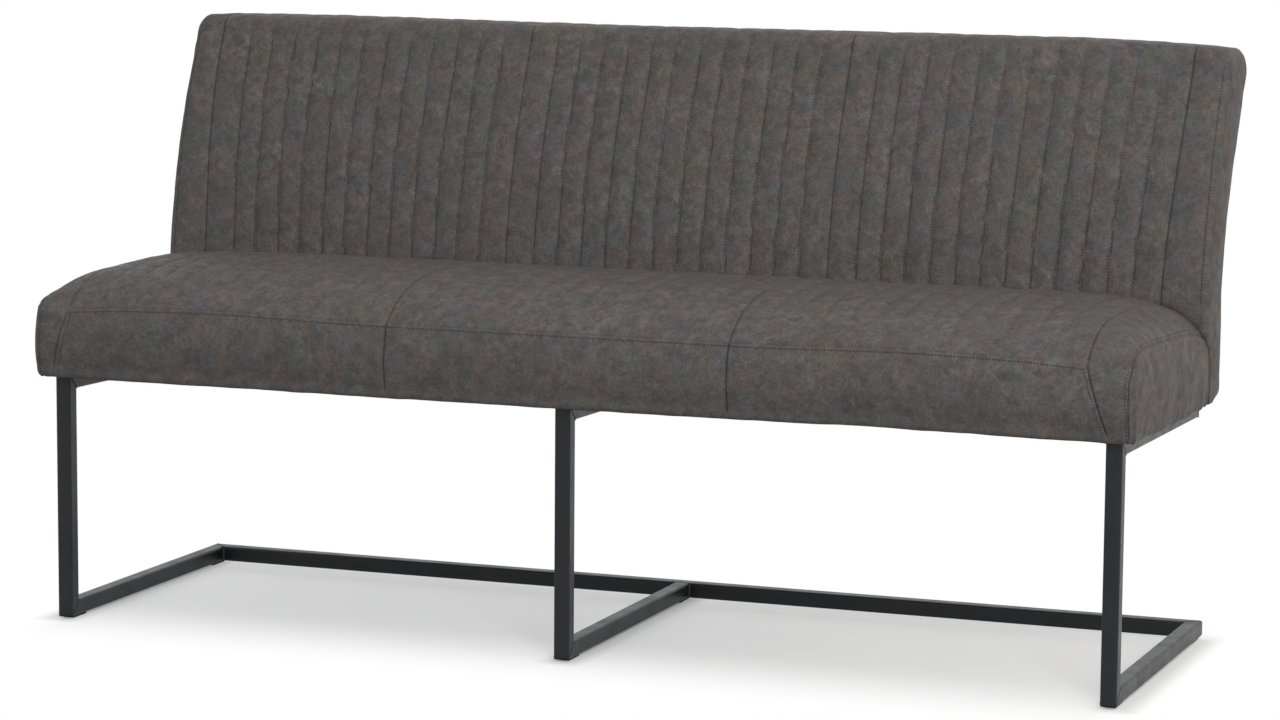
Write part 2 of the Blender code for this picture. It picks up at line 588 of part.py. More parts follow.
def build_back(unit, rear_rail, timber, board, foam, leather, zinc):
    """Ribs on the seat's rear rail, a top rail, hardboard facings, foam and the quilted cover."""
    rib_places = (("end_left", -RUNNER_X), ("inner_left", -MIDDLE_PANEL / 2),
                  ("inner_right", MIDDLE_PANEL / 2), ("end_right", RUNNER_X))
    screw_z = (RAIL_BOTTOM + RAIL_TOP) / 2
    head_face = SEAT_REAR - RAIL_WIDTH + CLEARANCE             # sunk just below the rail's front face
    under_head = head_face + SCREW_HEAD_HEIGHT
    tip = head_face + SCREW_LENGTH
    stand = Matrix(((0, 0, 1), (1, 0, 0), (0, 1, 0)))          # outline's plane to the unit's YZ plane
    for side, x in rib_places:
        bm = outline_solid([rib_outline()], RIB_WIDTH)
        bmesh.ops.rotate(bm, matrix=stand, verts=bm.verts)
        bmesh.ops.translate(bm, vec=(x - RIB_WIDTH / 2, 0, 0), verts=bm.verts)
        rib = place("back_rib_" + side, as_mesh("back_rib_" + side, bm), unit, timber)
        for part in (rib, rear_rail):
            hole = cylinder(SCREW_RADIUS + CLEARANCE, (x, head_face - PAST, screw_z),
                            (x, tip + CLEARANCE, screw_z))
            cut_away(part, "screw_hole", hole)
        sink = cylinder(SCREW_HEAD_RADIUS + CLEARANCE, (x, head_face - PAST, screw_z),
                        (x, under_head + CLEARANCE, screw_z))
        cut_away(rear_rail, "screw_sink", sink)
        profile = [(0, tip), (SCREW_RADIUS, tip), (SCREW_RADIUS, under_head),
                   (SCREW_HEAD_RADIUS, under_head), (SCREW_HEAD_RADIUS, head_face), (0, head_face)]
        lie = Matrix.Translation((x, 0, screw_z)) @ Matrix.Rotation(-math.pi / 2, 4, "X")
        turned("rib_screw_" + side, profile, unit, zinc, lie)

    rail_y = back_front(RIB_TOP) + RIB_FRONT_OFFSET
    rail = box((-RIB_OUTER_X, rail_y, RIB_TOP + CLEARANCE),
               (RIB_OUTER_X, rail_y + TOP_RAIL_DEPTH, RIB_TOP + CLEARANCE + TOP_RAIL_HEIGHT))
    place("back_top_rail", as_mesh("back_top_rail", rail), unit, timber)

    layers = (("back_front_panel", FRONT_PANEL_OFFSET, PANEL_THICKNESS, board),
              ("back_rear_panel", REAR_PANEL_OFFSET, PANEL_THICKNESS, board),
              ("back_foam", COVER + SOFT_GAP, PAD_THICKNESS, foam))
    flat_half = HALF_WIDTH - COVER - BACK_EDGE                 # where the cover's rounded ends begin
    for name, front, thickness, material in layers:
        outline = layer(front, thickness)
        sheet = wrapped_solid([-flat_half, flat_half], lambda x, ring=outline: ring)
        place(name, as_mesh(name, sheet), unit, material)

    skin = wrapped_solid(quilt_stations(BACK_EDGE), back_section(0.0, CLEARANCE, True))
    part = place("back_cover", as_mesh("back_cover", skin), unit, leather)
    hollow = wrapped_solid(plain_stations(HALF_WIDTH - COVER, BACK_EDGE),
                           back_section(COVER, -PAST, False))
    cut_away(part, "back_hollow", hollow)
    front = back_front(0.0)
    gap = box((-OPENING_HALF, front - PAST, -PAST), (OPENING_HALF, front + COVER + PAST, OPENING_HEIGHT))
    cut_away(part, "back_opening", gap)


def stand_on_origin(sofa):
    """Move the whole sofa so that the middle of its footprint is the world's origin."""
    bpy.context.view_layer.update()
    graph = bpy.context.evaluated_depsgraph_get()
    depths = []
    for part in parts.objects:
        if part.type == "MESH":
            drawn = part.evaluated_get(graph)
            depths += [(drawn.matrix_world @ vert.co).y for vert in drawn.data.vertices]
    sofa.location.y = -(min(depths) + max(depths)) / 2


clear_scene()
parts = new_collection("dining_sofa")
cutters = new_collection("cutters")
sofa = bpy.data.objects.new("sofa", None)
unit = bpy.data.objects.new("seat_unit", None)
for empty in (sofa, unit):
    parts.objects.link(empty)
unit.parent = sofa
unit.location = (0, 0, DECK_HEIGHT)
unit.rotation_euler = (-SEAT_SLOPE, 0, 0)

steel = finish("black_steel", (0.030, 0.031, 0.034), 0.45, 0.6)
plastic = finish("black_plastic", (0.02, 0.02, 0.02), 0.5)
timber = finish("timber", (0.55, 0.40, 0.25), 0.7)
board = finish("hardboard", (0.30, 0.20, 0.12), 0.7)
web = finish("webbing", (0.10, 0.10, 0.10), 0.8)
foam = finish("foam", (0.75, 0.72, 0.55), 0.9)
leather = finish("grey_leather", (0.094, 0.086, 0.080), 0.6)
cloth = finish("dust_cloth", (0.02, 0.02, 0.02), 0.95)
zinc = finish("zinc_steel", (0.55, 0.55, 0.53), 0.35, 1.0)

build_steel(sofa, unit, steel, plastic)
seat_rear_rail = build_seat(unit, timber, web, foam, leather, cloth, zinc)
build_back(unit, seat_rear_rail, timber, board, foam, leather, zinc)
stand_on_origin(sofa)
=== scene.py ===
import json
import math

import bmesh
import bpy
import numpy as np
from mathutils import Matrix, Vector, kdtree, noise
from mathutils.bvhtree import BVHTree


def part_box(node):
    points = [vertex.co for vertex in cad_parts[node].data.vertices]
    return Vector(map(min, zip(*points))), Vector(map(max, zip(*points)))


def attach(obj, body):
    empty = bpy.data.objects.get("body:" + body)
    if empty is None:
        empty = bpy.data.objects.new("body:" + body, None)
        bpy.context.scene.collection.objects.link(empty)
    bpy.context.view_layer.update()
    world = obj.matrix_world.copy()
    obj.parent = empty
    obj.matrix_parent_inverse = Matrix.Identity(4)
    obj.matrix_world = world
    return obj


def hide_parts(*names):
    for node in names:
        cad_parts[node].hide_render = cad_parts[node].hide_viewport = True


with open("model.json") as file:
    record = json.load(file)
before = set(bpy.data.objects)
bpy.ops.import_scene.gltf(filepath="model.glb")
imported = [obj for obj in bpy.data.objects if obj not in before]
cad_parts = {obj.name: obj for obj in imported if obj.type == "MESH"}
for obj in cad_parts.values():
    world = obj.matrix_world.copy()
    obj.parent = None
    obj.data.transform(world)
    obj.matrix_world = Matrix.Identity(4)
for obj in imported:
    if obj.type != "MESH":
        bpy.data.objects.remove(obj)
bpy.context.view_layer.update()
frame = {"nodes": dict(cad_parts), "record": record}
print("frame loaded:", len(frame["nodes"]), "nodes")

# the seat and back are worked out level, from the front edge of the runners' top face, and then tilted
sofa = {
    "deck": 0.380,                        # top of the seat runners at the posts
    "slope": math.radians(1.1),           # seat and back tip back by this
    "postFace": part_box("front_post_left")[0].y,
    "lift": 0.0003,                       # seat, back and dust cloth clear the runners by this
    "panelSeam": 0.2645,                  # seams either side of the middle panel
    "endSeam": 0.783,                     # seams of the plain end panels
    "leftSeam": 0.005,                    # the left end seam sits further out by this
    "channels": 13,                       # in each of the three panels
    "edgeChannel": 1.15,                  # first and last channel of a panel, against the others
    "fullness": 2.4,                      # roundness of a channel, where 2 is a plain arch
    "stitchPitch": 0.0046,
    "creaseShadeEnds": (0.76, 0.80),            # towards the ends the crease between seat and back gets painted shade, from here to here
}
tilt = np.array(Matrix.Rotation(-sofa["slope"], 3, "X"))
farOff = 1.0                              # a distance at which no seam shows
seamMargin = 0.01                         # and one that is clear of a seam
sewnReach = 0.001                         # a coarse column this close to a sewn line is on it


def toWorld(points):
    return points @ tilt.T + np.array((0.0, sofa["postFace"], sofa["deck"]))


def rampUp(value, low, high):
    share = np.clip((value - low) / (high - low), 0.0, 1.0)
    return share * share * (3 - 2 * share)


def hill(distance, width):
    return np.exp(-(distance / width) ** 2)


def groove(distance, width):
    # sharper in the middle than a hill
    return np.exp(-(distance / width) ** 1.4)


def arch(share, power):
    # 0 at both ends and 1 in the middle
    return np.sin(np.pi * np.clip(share, 0, 1)) ** power


def tuckIn(x, half, edge):
    # how far a rounded end has turned in
    past = np.clip((np.abs(x) - (half - edge)) / edge, 0.0, 1.0)
    return edge * (1 - np.sqrt(1 - past ** 2))


def turnUnder(height, radius):
    # how far a soft bottom edge has turned in
    return radius * np.clip(1 - height / radius, 0.0, 1.0) ** 2


def quiltLines():
    seams = [-sofa["endSeam"], -sofa["panelSeam"], sofa["panelSeam"], sofa["endSeam"]]
    lines = []
    for left, right in zip(seams, seams[1:]):
        pitch = (right - left) / (sofa["channels"] - 2 + 2 * sofa["edgeChannel"])
        lines += [left + pitch * (sofa["edgeChannel"] + i) for i in range(sofa["channels"] - 1)]
    seams[0] -= sofa["leftSeam"]
    return np.array(seams), np.array(lines)


seamLines, stitchLines = quiltLines()
sewnLines = np.sort(np.concatenate((seamLines, stitchLines)))


def nearest(x, lines):
    return np.abs(x[:, None] - lines[None, :]).min(axis=1)


def inPanels(x, margin=0.0):
    return (x > seamLines[0] - margin) & (x < seamLines[-1] + margin)


def pillow(x):
    # 1 at the crest of a channel, 0 at the sewn lines either side of it
    right = np.clip(np.searchsorted(sewnLines, x), 1, len(sewnLines) - 1)
    low, high = sewnLines[right - 1], sewnLines[right]
    across = np.clip((x - low) / (high - low), 0.0, 1.0) * 2 - 1
    return 1 - np.abs(across) ** sofa["fullness"]


# columns across the sofa: close together beside each sewn line and round both ends
columns = {
    "beside": (0.0008, 0.0020, 0.0045, 0.0090, 0.0145),
    "besideRow": (-0.0009, 0.0, 0.0009),      # at a row of stitches that follows an end
    "spacing": 0.0075,
    "endSteps": 14,
}


def acrossStations(half, rounding, beside=columns["beside"], spacing=columns["spacing"],
                   endSteps=columns["endSteps"], rowLines=()):
    flat = half - rounding
    marks = [-flat, *sewnLines, flat]
    found = set()
    for low, high in zip(marks, marks[1:]):
        close = [d for d in beside if d < (high - low) / 2.2]
        inner = sorted([low, high, *(low + d for d in close), *(high - d for d in close)])
        for a, b in zip(inner, inner[1:]):
            pieces = max(1, round((b - a) / spacing))
            found.update(a + (b - a) * i / pieces for i in range(pieces))
        found.add(high)
    for i in range(1, endSteps + 1):
        turn = flat + rounding * math.sin(math.pi / 2 * i / endSteps)
        found.update((turn, -turn))
    for line in rowLines:
        found.update(side * (line + d) for side in (-1, 1) for d in columns["besideRow"])
    return np.array(sorted(found))


# rows in depth and in height: closer together beside the seams
rows = {
    "beside": (0.0008, 0.0020, 0.0036, 0.0052, 0.0066, 0.0085),
    "spacing": 0.0052,
    "besideSpacing": 0.002,
}


def rowStations(length, seamAtEnd):
    # shares of a length that has a seam at its start, and perhaps at its end
    beside = rows["beside"]
    marks = [0.0, *beside, *([length - d for d in reversed(beside)] if seamAtEnd else ()), length]
    found = []
    for a, b in zip(marks, marks[1:]):
        spacing = rows["spacing"] if b - a > beside[-1] else rows["besideSpacing"]
        pieces = max(1, math.ceil((b - a) / spacing))
        found += [a + (b - a) * i / pieces for i in range(pieces)]
    return np.array(found + [length]) / length


def meshFrom(name, bm):
    mesh = bpy.data.meshes.new(name)
    bm.to_mesh(mesh)
    bm.free()
    return mesh


def getPoints(mesh):
    points = np.zeros(len(mesh.vertices) * 3)
    mesh.vertices.foreach_get("co", points)
    return points.reshape(-1, 3)


def setPoints(mesh, points):
    mesh.vertices.foreach_set("co", np.ascontiguousarray(points, dtype=np.float32).ravel())
    mesh.update()


def getNormals(mesh):
    normals = np.zeros(len(mesh.vertices) * 3)
    mesh.vertex_normals.foreach_get("vector", normals)
    return normals.reshape(-1, 3)


def block(counts, openSides):
    # a cube cut into a lattice; each open side is closed again by one flat face
    bm = bmesh.new()
    bmesh.ops.create_cube(bm, size=2.0)
    for axis, count in enumerate(counts):
        along = [e for e in bm.edges if abs((e.verts[0].co - e.verts[1].co)[axis]) > 1.0]
        bmesh.ops.subdivide_edges(bm, edges=along, cuts=count - 1, use_grid_fill=True)
    for axis, sign in openSides:
        side = [f for f in bm.faces if all(v.co[axis] * sign > 0.9999 for v in f.verts)]
        bmesh.ops.delete(bm, geom=side, context="FACES")
        bmesh.ops.holes_fill(bm, edges=[e for e in bm.edges if e.is_boundary])
    bmesh.ops.recalc_face_normals(bm, faces=bm.faces)
    return bm


def latticeMesh(name, xs, ts, ws, openSides=()):
    # a block, with its vertices' places along the three ways and the sides they are on
    counts = (len(xs) - 1, len(ts) - 1, len(ws) - 1)
    mesh = meshFrom(name, block(counts, openSides))
    i, j, k = np.rint((getPoints(mesh) + 1) / 2 * np.array(counts)).astype(int).T
    sides = {"top": k == counts[2], "bottom": k == 0, "front": j == 0, "rear": j == counts[1],
             "end": (i == 0) | (i == counts[0])}
    return mesh, (xs[i], ts[j], ws[k]), sides


def fold(points, height, size, seed, stretch=(1, 1, 1)):
    # soft noise at each point, up to about the height either way
    scale = np.array(stretch) / size
    shift = np.array((seed * 3.1, seed * 7.7, seed * 5.3))
    return height * np.array([noise.noise(p) for p in (points * scale + shift).tolist()])


def addPiece(name, mesh, material):
    piece = bpy.data.objects.new(name, mesh)
    bpy.context.scene.collection.objects.link(piece)
    mesh.materials.append(material)
    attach(piece, "root")
    print(name + ":", len(mesh.polygons), "faces")
    return piece


# the seat: a crowned block with channels on top, a plain front band and boxed ends
seat = {
    "half": 0.8535,
    "depth": 0.45,                # from the front seam to the joint with the back
    "rows": (0.445, 0.115),       # lengths that the rows are spread over, in depth and in height
    "coarse": (3, 33, 9),         # steps of the stuffing round each end, in depth and in height
    "folds": ((0.0010, 0.055, 1.0), (0.0005, 0.021, 2.0)),     # height, size and seed
    "sideFold": (0.0026, 0.045, 3.0, (1, 1.6, 0.35)),
    "offset": 0.0045,             # the cover sits this far to the left of the middle
    "overhang": 0.035,            # furthest point of the front band before the posts
    "bandHeight": 0.1092,         # seam along the front, which bows up in the end panels and falls to the corners
    "bandBow": (0.0042, 0.53, 0.25),      # by how much, where and over what half width
    "bandFall": (0.0062, 0.68, 0.83),     # by how much, and from where to where
    "bandBulge": 0.011,
    "bandRoll": 0.007,            # roll of the bottom edge
    "slant": (0.027, 0.033),      # left and right end seams lean out down the front band
    "slantFrom": 0.35,
    "slantDepth": 0.2,            # and are straight again at this share of the depth
    "hem": 0.0052,                # the cover hangs below the deck before it turns under
    "hemHeight": 0.002,
    "hemDepth": 0.06,             # in front of the posts, as a share of the depth
    "hemEnds": (0.833, 0.845),    # and outside the runners
    "hemLift": (0.4, 0.50, 0.17),     # drawn up by this share, where and over what width
    "endUnder": 0.009,            # and turns under at the ends as well
    "endUnderWidth": 0.030,
    "sideSeam": 0.1215,
    "sideFall": (0.010, 0.02),    # boxing seam falls gently to the rear, from here on, and then dips
    "rearDip": (0.014, 0.030),
    "sideBulge": 0.005,
    "shoulder": 0.0018,           # rounding of the end panels, which have no seam along the front
    "shoulderWidth": 0.011,
    "crest": 0.178,
    "leftDip": (0.002, 0.45, 0.72),       # the crown is a little lower at the left
    "creaseDrop": 0.020,
    "crownRoll": 0.068,
    "endRoll": (0.022, 0.041),    # rounding of the ends, at the front and at the rear
    "endRollDepth": 0.18,
    "cornerRoll": 0.011,
    "edge": 0.010,                # rounding along the ends
    "boxingInset": (0.005, 0.0035, 0.80),     # boxing seam inside the rounded ends, how much further on the
                                              # front, and up to which share of the height
    "boxingStitch": 0.0058,       # row of stitches beside it
    "welt": (0.0012, 0.0026, 0.0016),     # raised edge outside it: height, distance and width
    "channelStart": -0.012,
    "channelFade": 0.085,
    "pillowHeight": 0.0026,
    "stitchDepth": 0.0007,
    "stitchWidth": 0.0012,
    "seamDepth": 0.0024,
    "seamWidth": 0.0012,
    "seamReach": 0.0005,          # the end seams count as part of their panels
    "seamEnd": (0.02, 0.08),      # panel seams run out just above the bottom of the band
    "drawIn": 0.0014,             # wide hollow along a seam
    "drawWidth": 0.014,
    "frontSeam": 0.55,            # depth of the seam along the front, against the others
    "frontStitch": 0.0065,        # row of stitches below that seam
    "lip": 0.0009,                # folded edge between seam and stitches
    "frontLip": 0.0020,           # its width along the front
    "endLip": (0.0025, 0.0016),   # its distance and width at the end seams
    "shade": (0.72, 0.16, 0.40),  # darkness in the panel, front and boxing seams
    "shadeWidth": 0.0009,
    "shadeTop": (0.62, 0.42, 0.2, 0.6),   # panel seams are finer on top and run out to the rear
    "shadeLeft": (-0.7, 0.5),     # and are finer at the left end
    # painted shade in the crease against the back: darkness and width
    "jointShade": (0.5, 0.0040),
    "thread": 0.45,               # how far the channels' thread shows
}

# the back: an upright slab that leans further with height, channelled in front and plain behind
back = {
    "half": 0.8540,
    "offset": 0.0012,             # sits this far to the left of the middle
    "height": 0.5302,             # top of the roll over the front edge
    "thickness": 0.1165,
    "overTop": 0.14,              # length of the cover over the top
    "threadOver": 0.5,            # shares of it that show thread, seams and channels
    "seamOver": 0.26,
    "pillowOver": (0.40, 0.75),
    "heldOver": 0.4,              # and share over which the stuffing is held at the seams
    "heldAbove": 0.012,           # it is held at the channels up to this far above their top
    "lessOver": (0.6, 0.93),      # it swells less by this share, from this share of the height
    "coarse": (4, 11, 37),        # steps of the stuffing round each end, in depth and in height
    "folds": ((0.0008, 0.060, 4.0), (0.0004, 0.022, 5.0)),     # height, size and seed
    "crease": 0.158,              # height where the front face meets the seat
    "creaseY": 0.415,
    "lean": math.tan(math.radians(5.7)),
    "curveRadius": 0.883,
    "frontRadius": 0.025,
    "rearRadius": 0.019,
    "topFall": math.radians(2),   # the top falls away to the rear
    "topPower": 6,                # how late in the height the faces turn into the top's roll
    "edge": 0.0065,               # rounding along the ends
    "corner": (0.026, 0.0225),    # rounding of the left and right top corners
    "endUnder": 0.013,            # the ends turn under at the bottom
    "endUnderWidth": 0.030,
    "bottomRoll": (0.005, 0.018),     # roll of the rear bottom edge, over the ribs and at the ends
    "rollEnds": (0.845, 0.853),
    "lowRows": (0.0, 0.001, 0.003, 0.007, 0.012, 0.020, 0.045,      # rows below the crease
                0.070, 0.085, 0.100, 0.115, 0.130),
    "highRows": 66,               # and above them
    "seamRows": (-0.004, -0.002, -0.0008, 0.0, 0.0008, 0.002, 0.004),     # and about the rear seam
    "seamClear": 0.006,           # share of the height that other rows keep clear of it
    "depthRows": 23,
    "spread": 0.014,              # end seams lean out towards the top
    "spreadFrom": 0.30,
    "endSpread": (0.0048, 0.0018),    # left and right ends lean out a little as well
    "leftRise": (0.0045, 0.1, 0.8),   # left end stands up, and from where to where
    "rightDroop": (0.0055, 0.60, 0.86),   # right corner droops
    "sideBulge": 0.0045,
    "channelTop": 0.476,          # stitching fades out above this
    "channelFade": 0.052,
    "lastLine": 0.055,            # and lower down on the last line at the right
    "fainter": (0.35, (0.20, 0.60), (0.30, 0.44)),    # less of it towards the right and the top
    "keptPillow": 0.45,           # share of the channels' height that stays where no thread shows
    "pillowHeight": 0.0031,
    "stitchDepth": 0.0006,
    "stitchWidth": 0.0012,
    "seamDepth": 0.0024,
    "seamWidth": 0.0012,
    "rearDepth": 0.5,             # depth of the seams behind, against the others
    "drawIn": 0.0014,
    "drawWidth": 0.014,
    "edgeStitch": 0.0115,         # row of stitches inside the front edges
    "edgeDepth": 0.6,             # its depth, against the others
    "rearSeam": 0.468,            # height of the seam across the rear
    "shade": (0.11, 0.62),        # darkness in the stitched lines and in the seams
    "shadeWidth": (0.0018, 0.0014, 0.0009),   # of the channels, the edge rows and the seams
    # painted shade in the crease against the seat: darkness and width
    "jointShade": (0.6, 0.0050),
    "jointShift": 0.027,          # near the ends the joint with the seat steps back below the crease
    "jointHeights": (0.074, 0.098),
    "jointEnds": (0.825, 0.840),
    "jointTop": 0.14,
    "jointGap": 0.0008,
}
seamY = seat["bandBulge"] - seat["overhang"]
seatRear = back["creaseY"] - back["jointGap"]


def backFace(z):
    up = np.maximum(z - back["crease"], -back["lean"] * back["curveRadius"])
    return back["creaseY"] + back["lean"] * up + up * up / (2 * back["curveRadius"])


def jointFace(x, z):
    # where seat and back meet
    step = back["jointShift"] * (1 - rampUp(z, *back["jointHeights"]))
    return backFace(z) + step * rampUp(np.abs(x), *back["jointEnds"])


def bandTop(x):
    rise, middle, width = seat["bandBow"]
    fall, start, end = seat["bandFall"]
    bow = np.cos(np.clip((np.abs(x) - middle) / width, -1.0, 1.0) * math.pi / 2) ** 2
    return seat["bandHeight"] + rise * bow - fall * rampUp(np.abs(x), start, end)


def seatTop(x, y):
    band, ahead, toRear = bandTop(x), y - seamY, np.maximum(seatRear - y, 0.0)
    dip, start, end = seat["leftDip"]
    crest = seat["crest"] - dip * rampUp(-x, start, end)
    crown = crest - (crest - band) * np.exp(-ahead / seat["crownRoll"])
    crown = crown - seat["creaseDrop"] * np.exp(-toRear / seat["crownRoll"])
    fall, start = seat["sideFall"]
    dip, length = seat["rearDip"]
    side = seat["sideSeam"] - (seat["sideSeam"] - band) * np.exp(-ahead / seat["cornerRoll"])
    side = side - fall * rampUp(y, start, seatRear) - dip * np.exp(-toRear / length)
    front, rear = seat["endRoll"]
    roll = front + (rear - front) * rampUp(y, 0.0, seat["endRollDepth"])
    return side + (crown - side) * (1 - np.exp(-(seat["half"] - np.abs(x)) / roll))


def sideSwell(x, t, w, settings, power):
    # the flat ends swell out a little
    onEnd = np.abs(x) > settings["half"] - 1e-6
    return np.where(onEnd, settings["sideBulge"] * arch(t, 0.5) * arch(w, power), 0.0)


def seatPoint(x, t, w):
    # t runs from the front to the back, w from the bottom to the top
    wide, half, lift, endSeam = np.abs(x), seat["half"], sofa["lift"], sofa["endSeam"]
    edge = tuckIn(x, half, seat["edge"])
    up = w * bandTop(x)
    front = seamY + edge - seat["bandBulge"] * arch(w, 0.8)
    front = front + turnUnder(up, seat["bandRoll"])
    topY = seamY + edge + (seatRear - seamY - edge) * t
    zTop = seatTop(x, topY) - edge
    # the hem hangs a little below the deck in front of the posts and outside the runners
    hangs = np.maximum(1 - rampUp(t, 0.0, seat["hemDepth"]), rampUp(wide, *seat["hemEnds"]))
    share, middle, width = seat["hemLift"]
    hangs = hangs * (1 - share * hill(x - middle, width))
    hem = seat["hem"] * hangs * up / seat["hemHeight"] * np.exp(1 - up / seat["hemHeight"])
    z = lift + (zTop - lift) * w - hem
    rear = np.where(w > 0.999, seatRear, jointFace(x, z) - back["jointGap"])
    y = front + (rear - front) * t
    slant = np.where(x < 0, *seat["slant"]) * rampUp(wide, seat["slantFrom"], endSeam)
    slant = slant * (1 - rampUp(wide, endSeam, half)) * (1 - w) * (1 - rampUp(t, 0, seat["slantDepth"]))
    under = turnUnder(up, seat["endUnder"]) * rampUp(wide, half - seat["endUnderWidth"], half)
    out = np.sign(x) * (wide + slant + sideSwell(x, t, w, seat, 0.6) - under)
    shift = seat["offset"] * (1 - x / endSeam)
    out = out - shift * (1 - rampUp(wide, endSeam, half - seamMargin))
    return np.stack((out, y, z), axis=1)


def boxingInset(w, onFront):
    inset, further, height = seat["boxingInset"]
    return inset + further * onFront * (1 - rampUp(w, height, 1.0))


def seatChannel(t):
    # the channels rise gently behind the front edge
    y = seamY + (back["creaseY"] - seamY) * t
    return rampUp(y, seat["channelStart"], seat["channelStart"] + seat["channelFade"])


def seatLines(x, t, w, sides):
    # distances to the panel seams, to the seam along the front and to the boxing seam, and the stitch strength
    onTop, onFront = sides["top"], sides["front"]
    further, height = seat["seamEnd"]
    toPanel = np.where(onTop | onFront, nearest(x, seamLines), farOff)
    toPanel = toPanel + np.where(onFront, further * (1 - rampUp(w, 0.0, height)), 0.0)
    fromFront = (back["creaseY"] - seamY) * t
    toFront = np.where(onTop, fromFront, np.where(onFront, (1 - w) * bandTop(x), farOff))
    across = np.abs(seat["half"] - boxingInset(w, onFront) - np.abs(x))
    toBoxing = np.where(sides["end"], (1 - t) * seat["depth"], np.where(onTop | onFront, across, farOff))
    return toPanel, toFront, toBoxing, seatChannel(t) * onTop


def drawnIn(settings, distances):
    # the deepest of the seams at each point: a narrow groove in a wide hollow
    down = 0.0
    for distance in distances:
        narrow = settings["seamDepth"] * groove(distance, settings["seamWidth"])
        down = np.maximum(down, narrow + settings["drawIn"] * hill(distance, settings["drawWidth"]))
    return down


def seatRelief(x, t, w, sides):
    # how far the cover is drawn in below the plain form, how dark its sewn lines are, and the painted shade in
    # its crease against the back
    onTop, onFront, wide = sides["top"], sides["front"], np.abs(x)
    toPanel, toFront, toBoxing, deep = seatLines(x, t, w, sides)
    inner = inPanels(x, seat["seamReach"])
    toSeam = np.where(inner, toFront, farOff)
    down = seat["pillowHeight"] * (1 - pillow(x)) * deep * inner
    down = down + seat["stitchDepth"] * groove(nearest(x, stitchLines), seat["stitchWidth"]) * deep
    down = np.maximum(down, drawnIn(seat, (toPanel, toBoxing)))
    down = np.maximum(down, seat["frontSeam"] * drawnIn(seat, (toSeam,)))
    shoulder = seat["shoulder"] * np.clip(1 - toFront / seat["shoulderWidth"], 0.0, 1.0) ** 2
    down = down + np.where(inner, 0.0, shoulder)
    lip = seat["lip"] * hill(toSeam - seat["frontStitch"] / 2, seat["frontLip"]) * onFront
    middle, width = seat["endLip"]
    lip = np.maximum(lip, seat["lip"] * hill(sofa["endSeam"] - wide - middle, width) * onFront)
    height, middle, width = seat["welt"]
    fromBoxing = wide - seat["half"] + boxingInset(w, onFront)
    welt = height * hill(fromBoxing - middle, width) * (onTop | onFront) * ~sides["end"]
    down = down - lip - welt
    dark, front, boxing = seat["shade"]
    ahead, less, start, end = seat["shadeTop"]
    left, share = seat["shadeLeft"]
    dark = dark * np.where(onFront, 1.0, ahead - less * rampUp(t, start, end)) * np.where(x < left, share, 1.0)
    shade = 0.0
    for distance, depth in ((toPanel, dark), (toSeam, front), (toBoxing, boxing)):
        shade = np.maximum(shade, depth * groove(distance, seat["shadeWidth"]))
    # painted shade along the rear edge of the top, where it meets the back, darker towards the ends
    depth, width = seat["jointShade"]
    creaseShade = depth * groove((1 - t) * seat["depth"], width) * rampUp(wide, *sofa["creaseShadeEnds"]) * onTop
    return down, np.maximum(shade, creaseShade)


def backTop(edge):
    # ends of the front and rear turns of the top, and the straight stretch between them
    a, b, fall = back["frontRadius"], back["rearRadius"], back["topFall"]
    zA = back["height"] - a
    yA = backFace(np.array(zA)) + edge + a
    zB = zA - 0.01
    for _ in range(4):      # a few rounds settle the rear turn on the curved face
        yB = backFace(np.array(zB)) + back["thickness"] - edge - b
        flat = (yB - yA + (b - a) * math.sin(fall)) / math.cos(fall)
        zB = zA + (a - b) * math.cos(fall) - flat * math.sin(fall)
    return yA, zA, yB, zB, flat


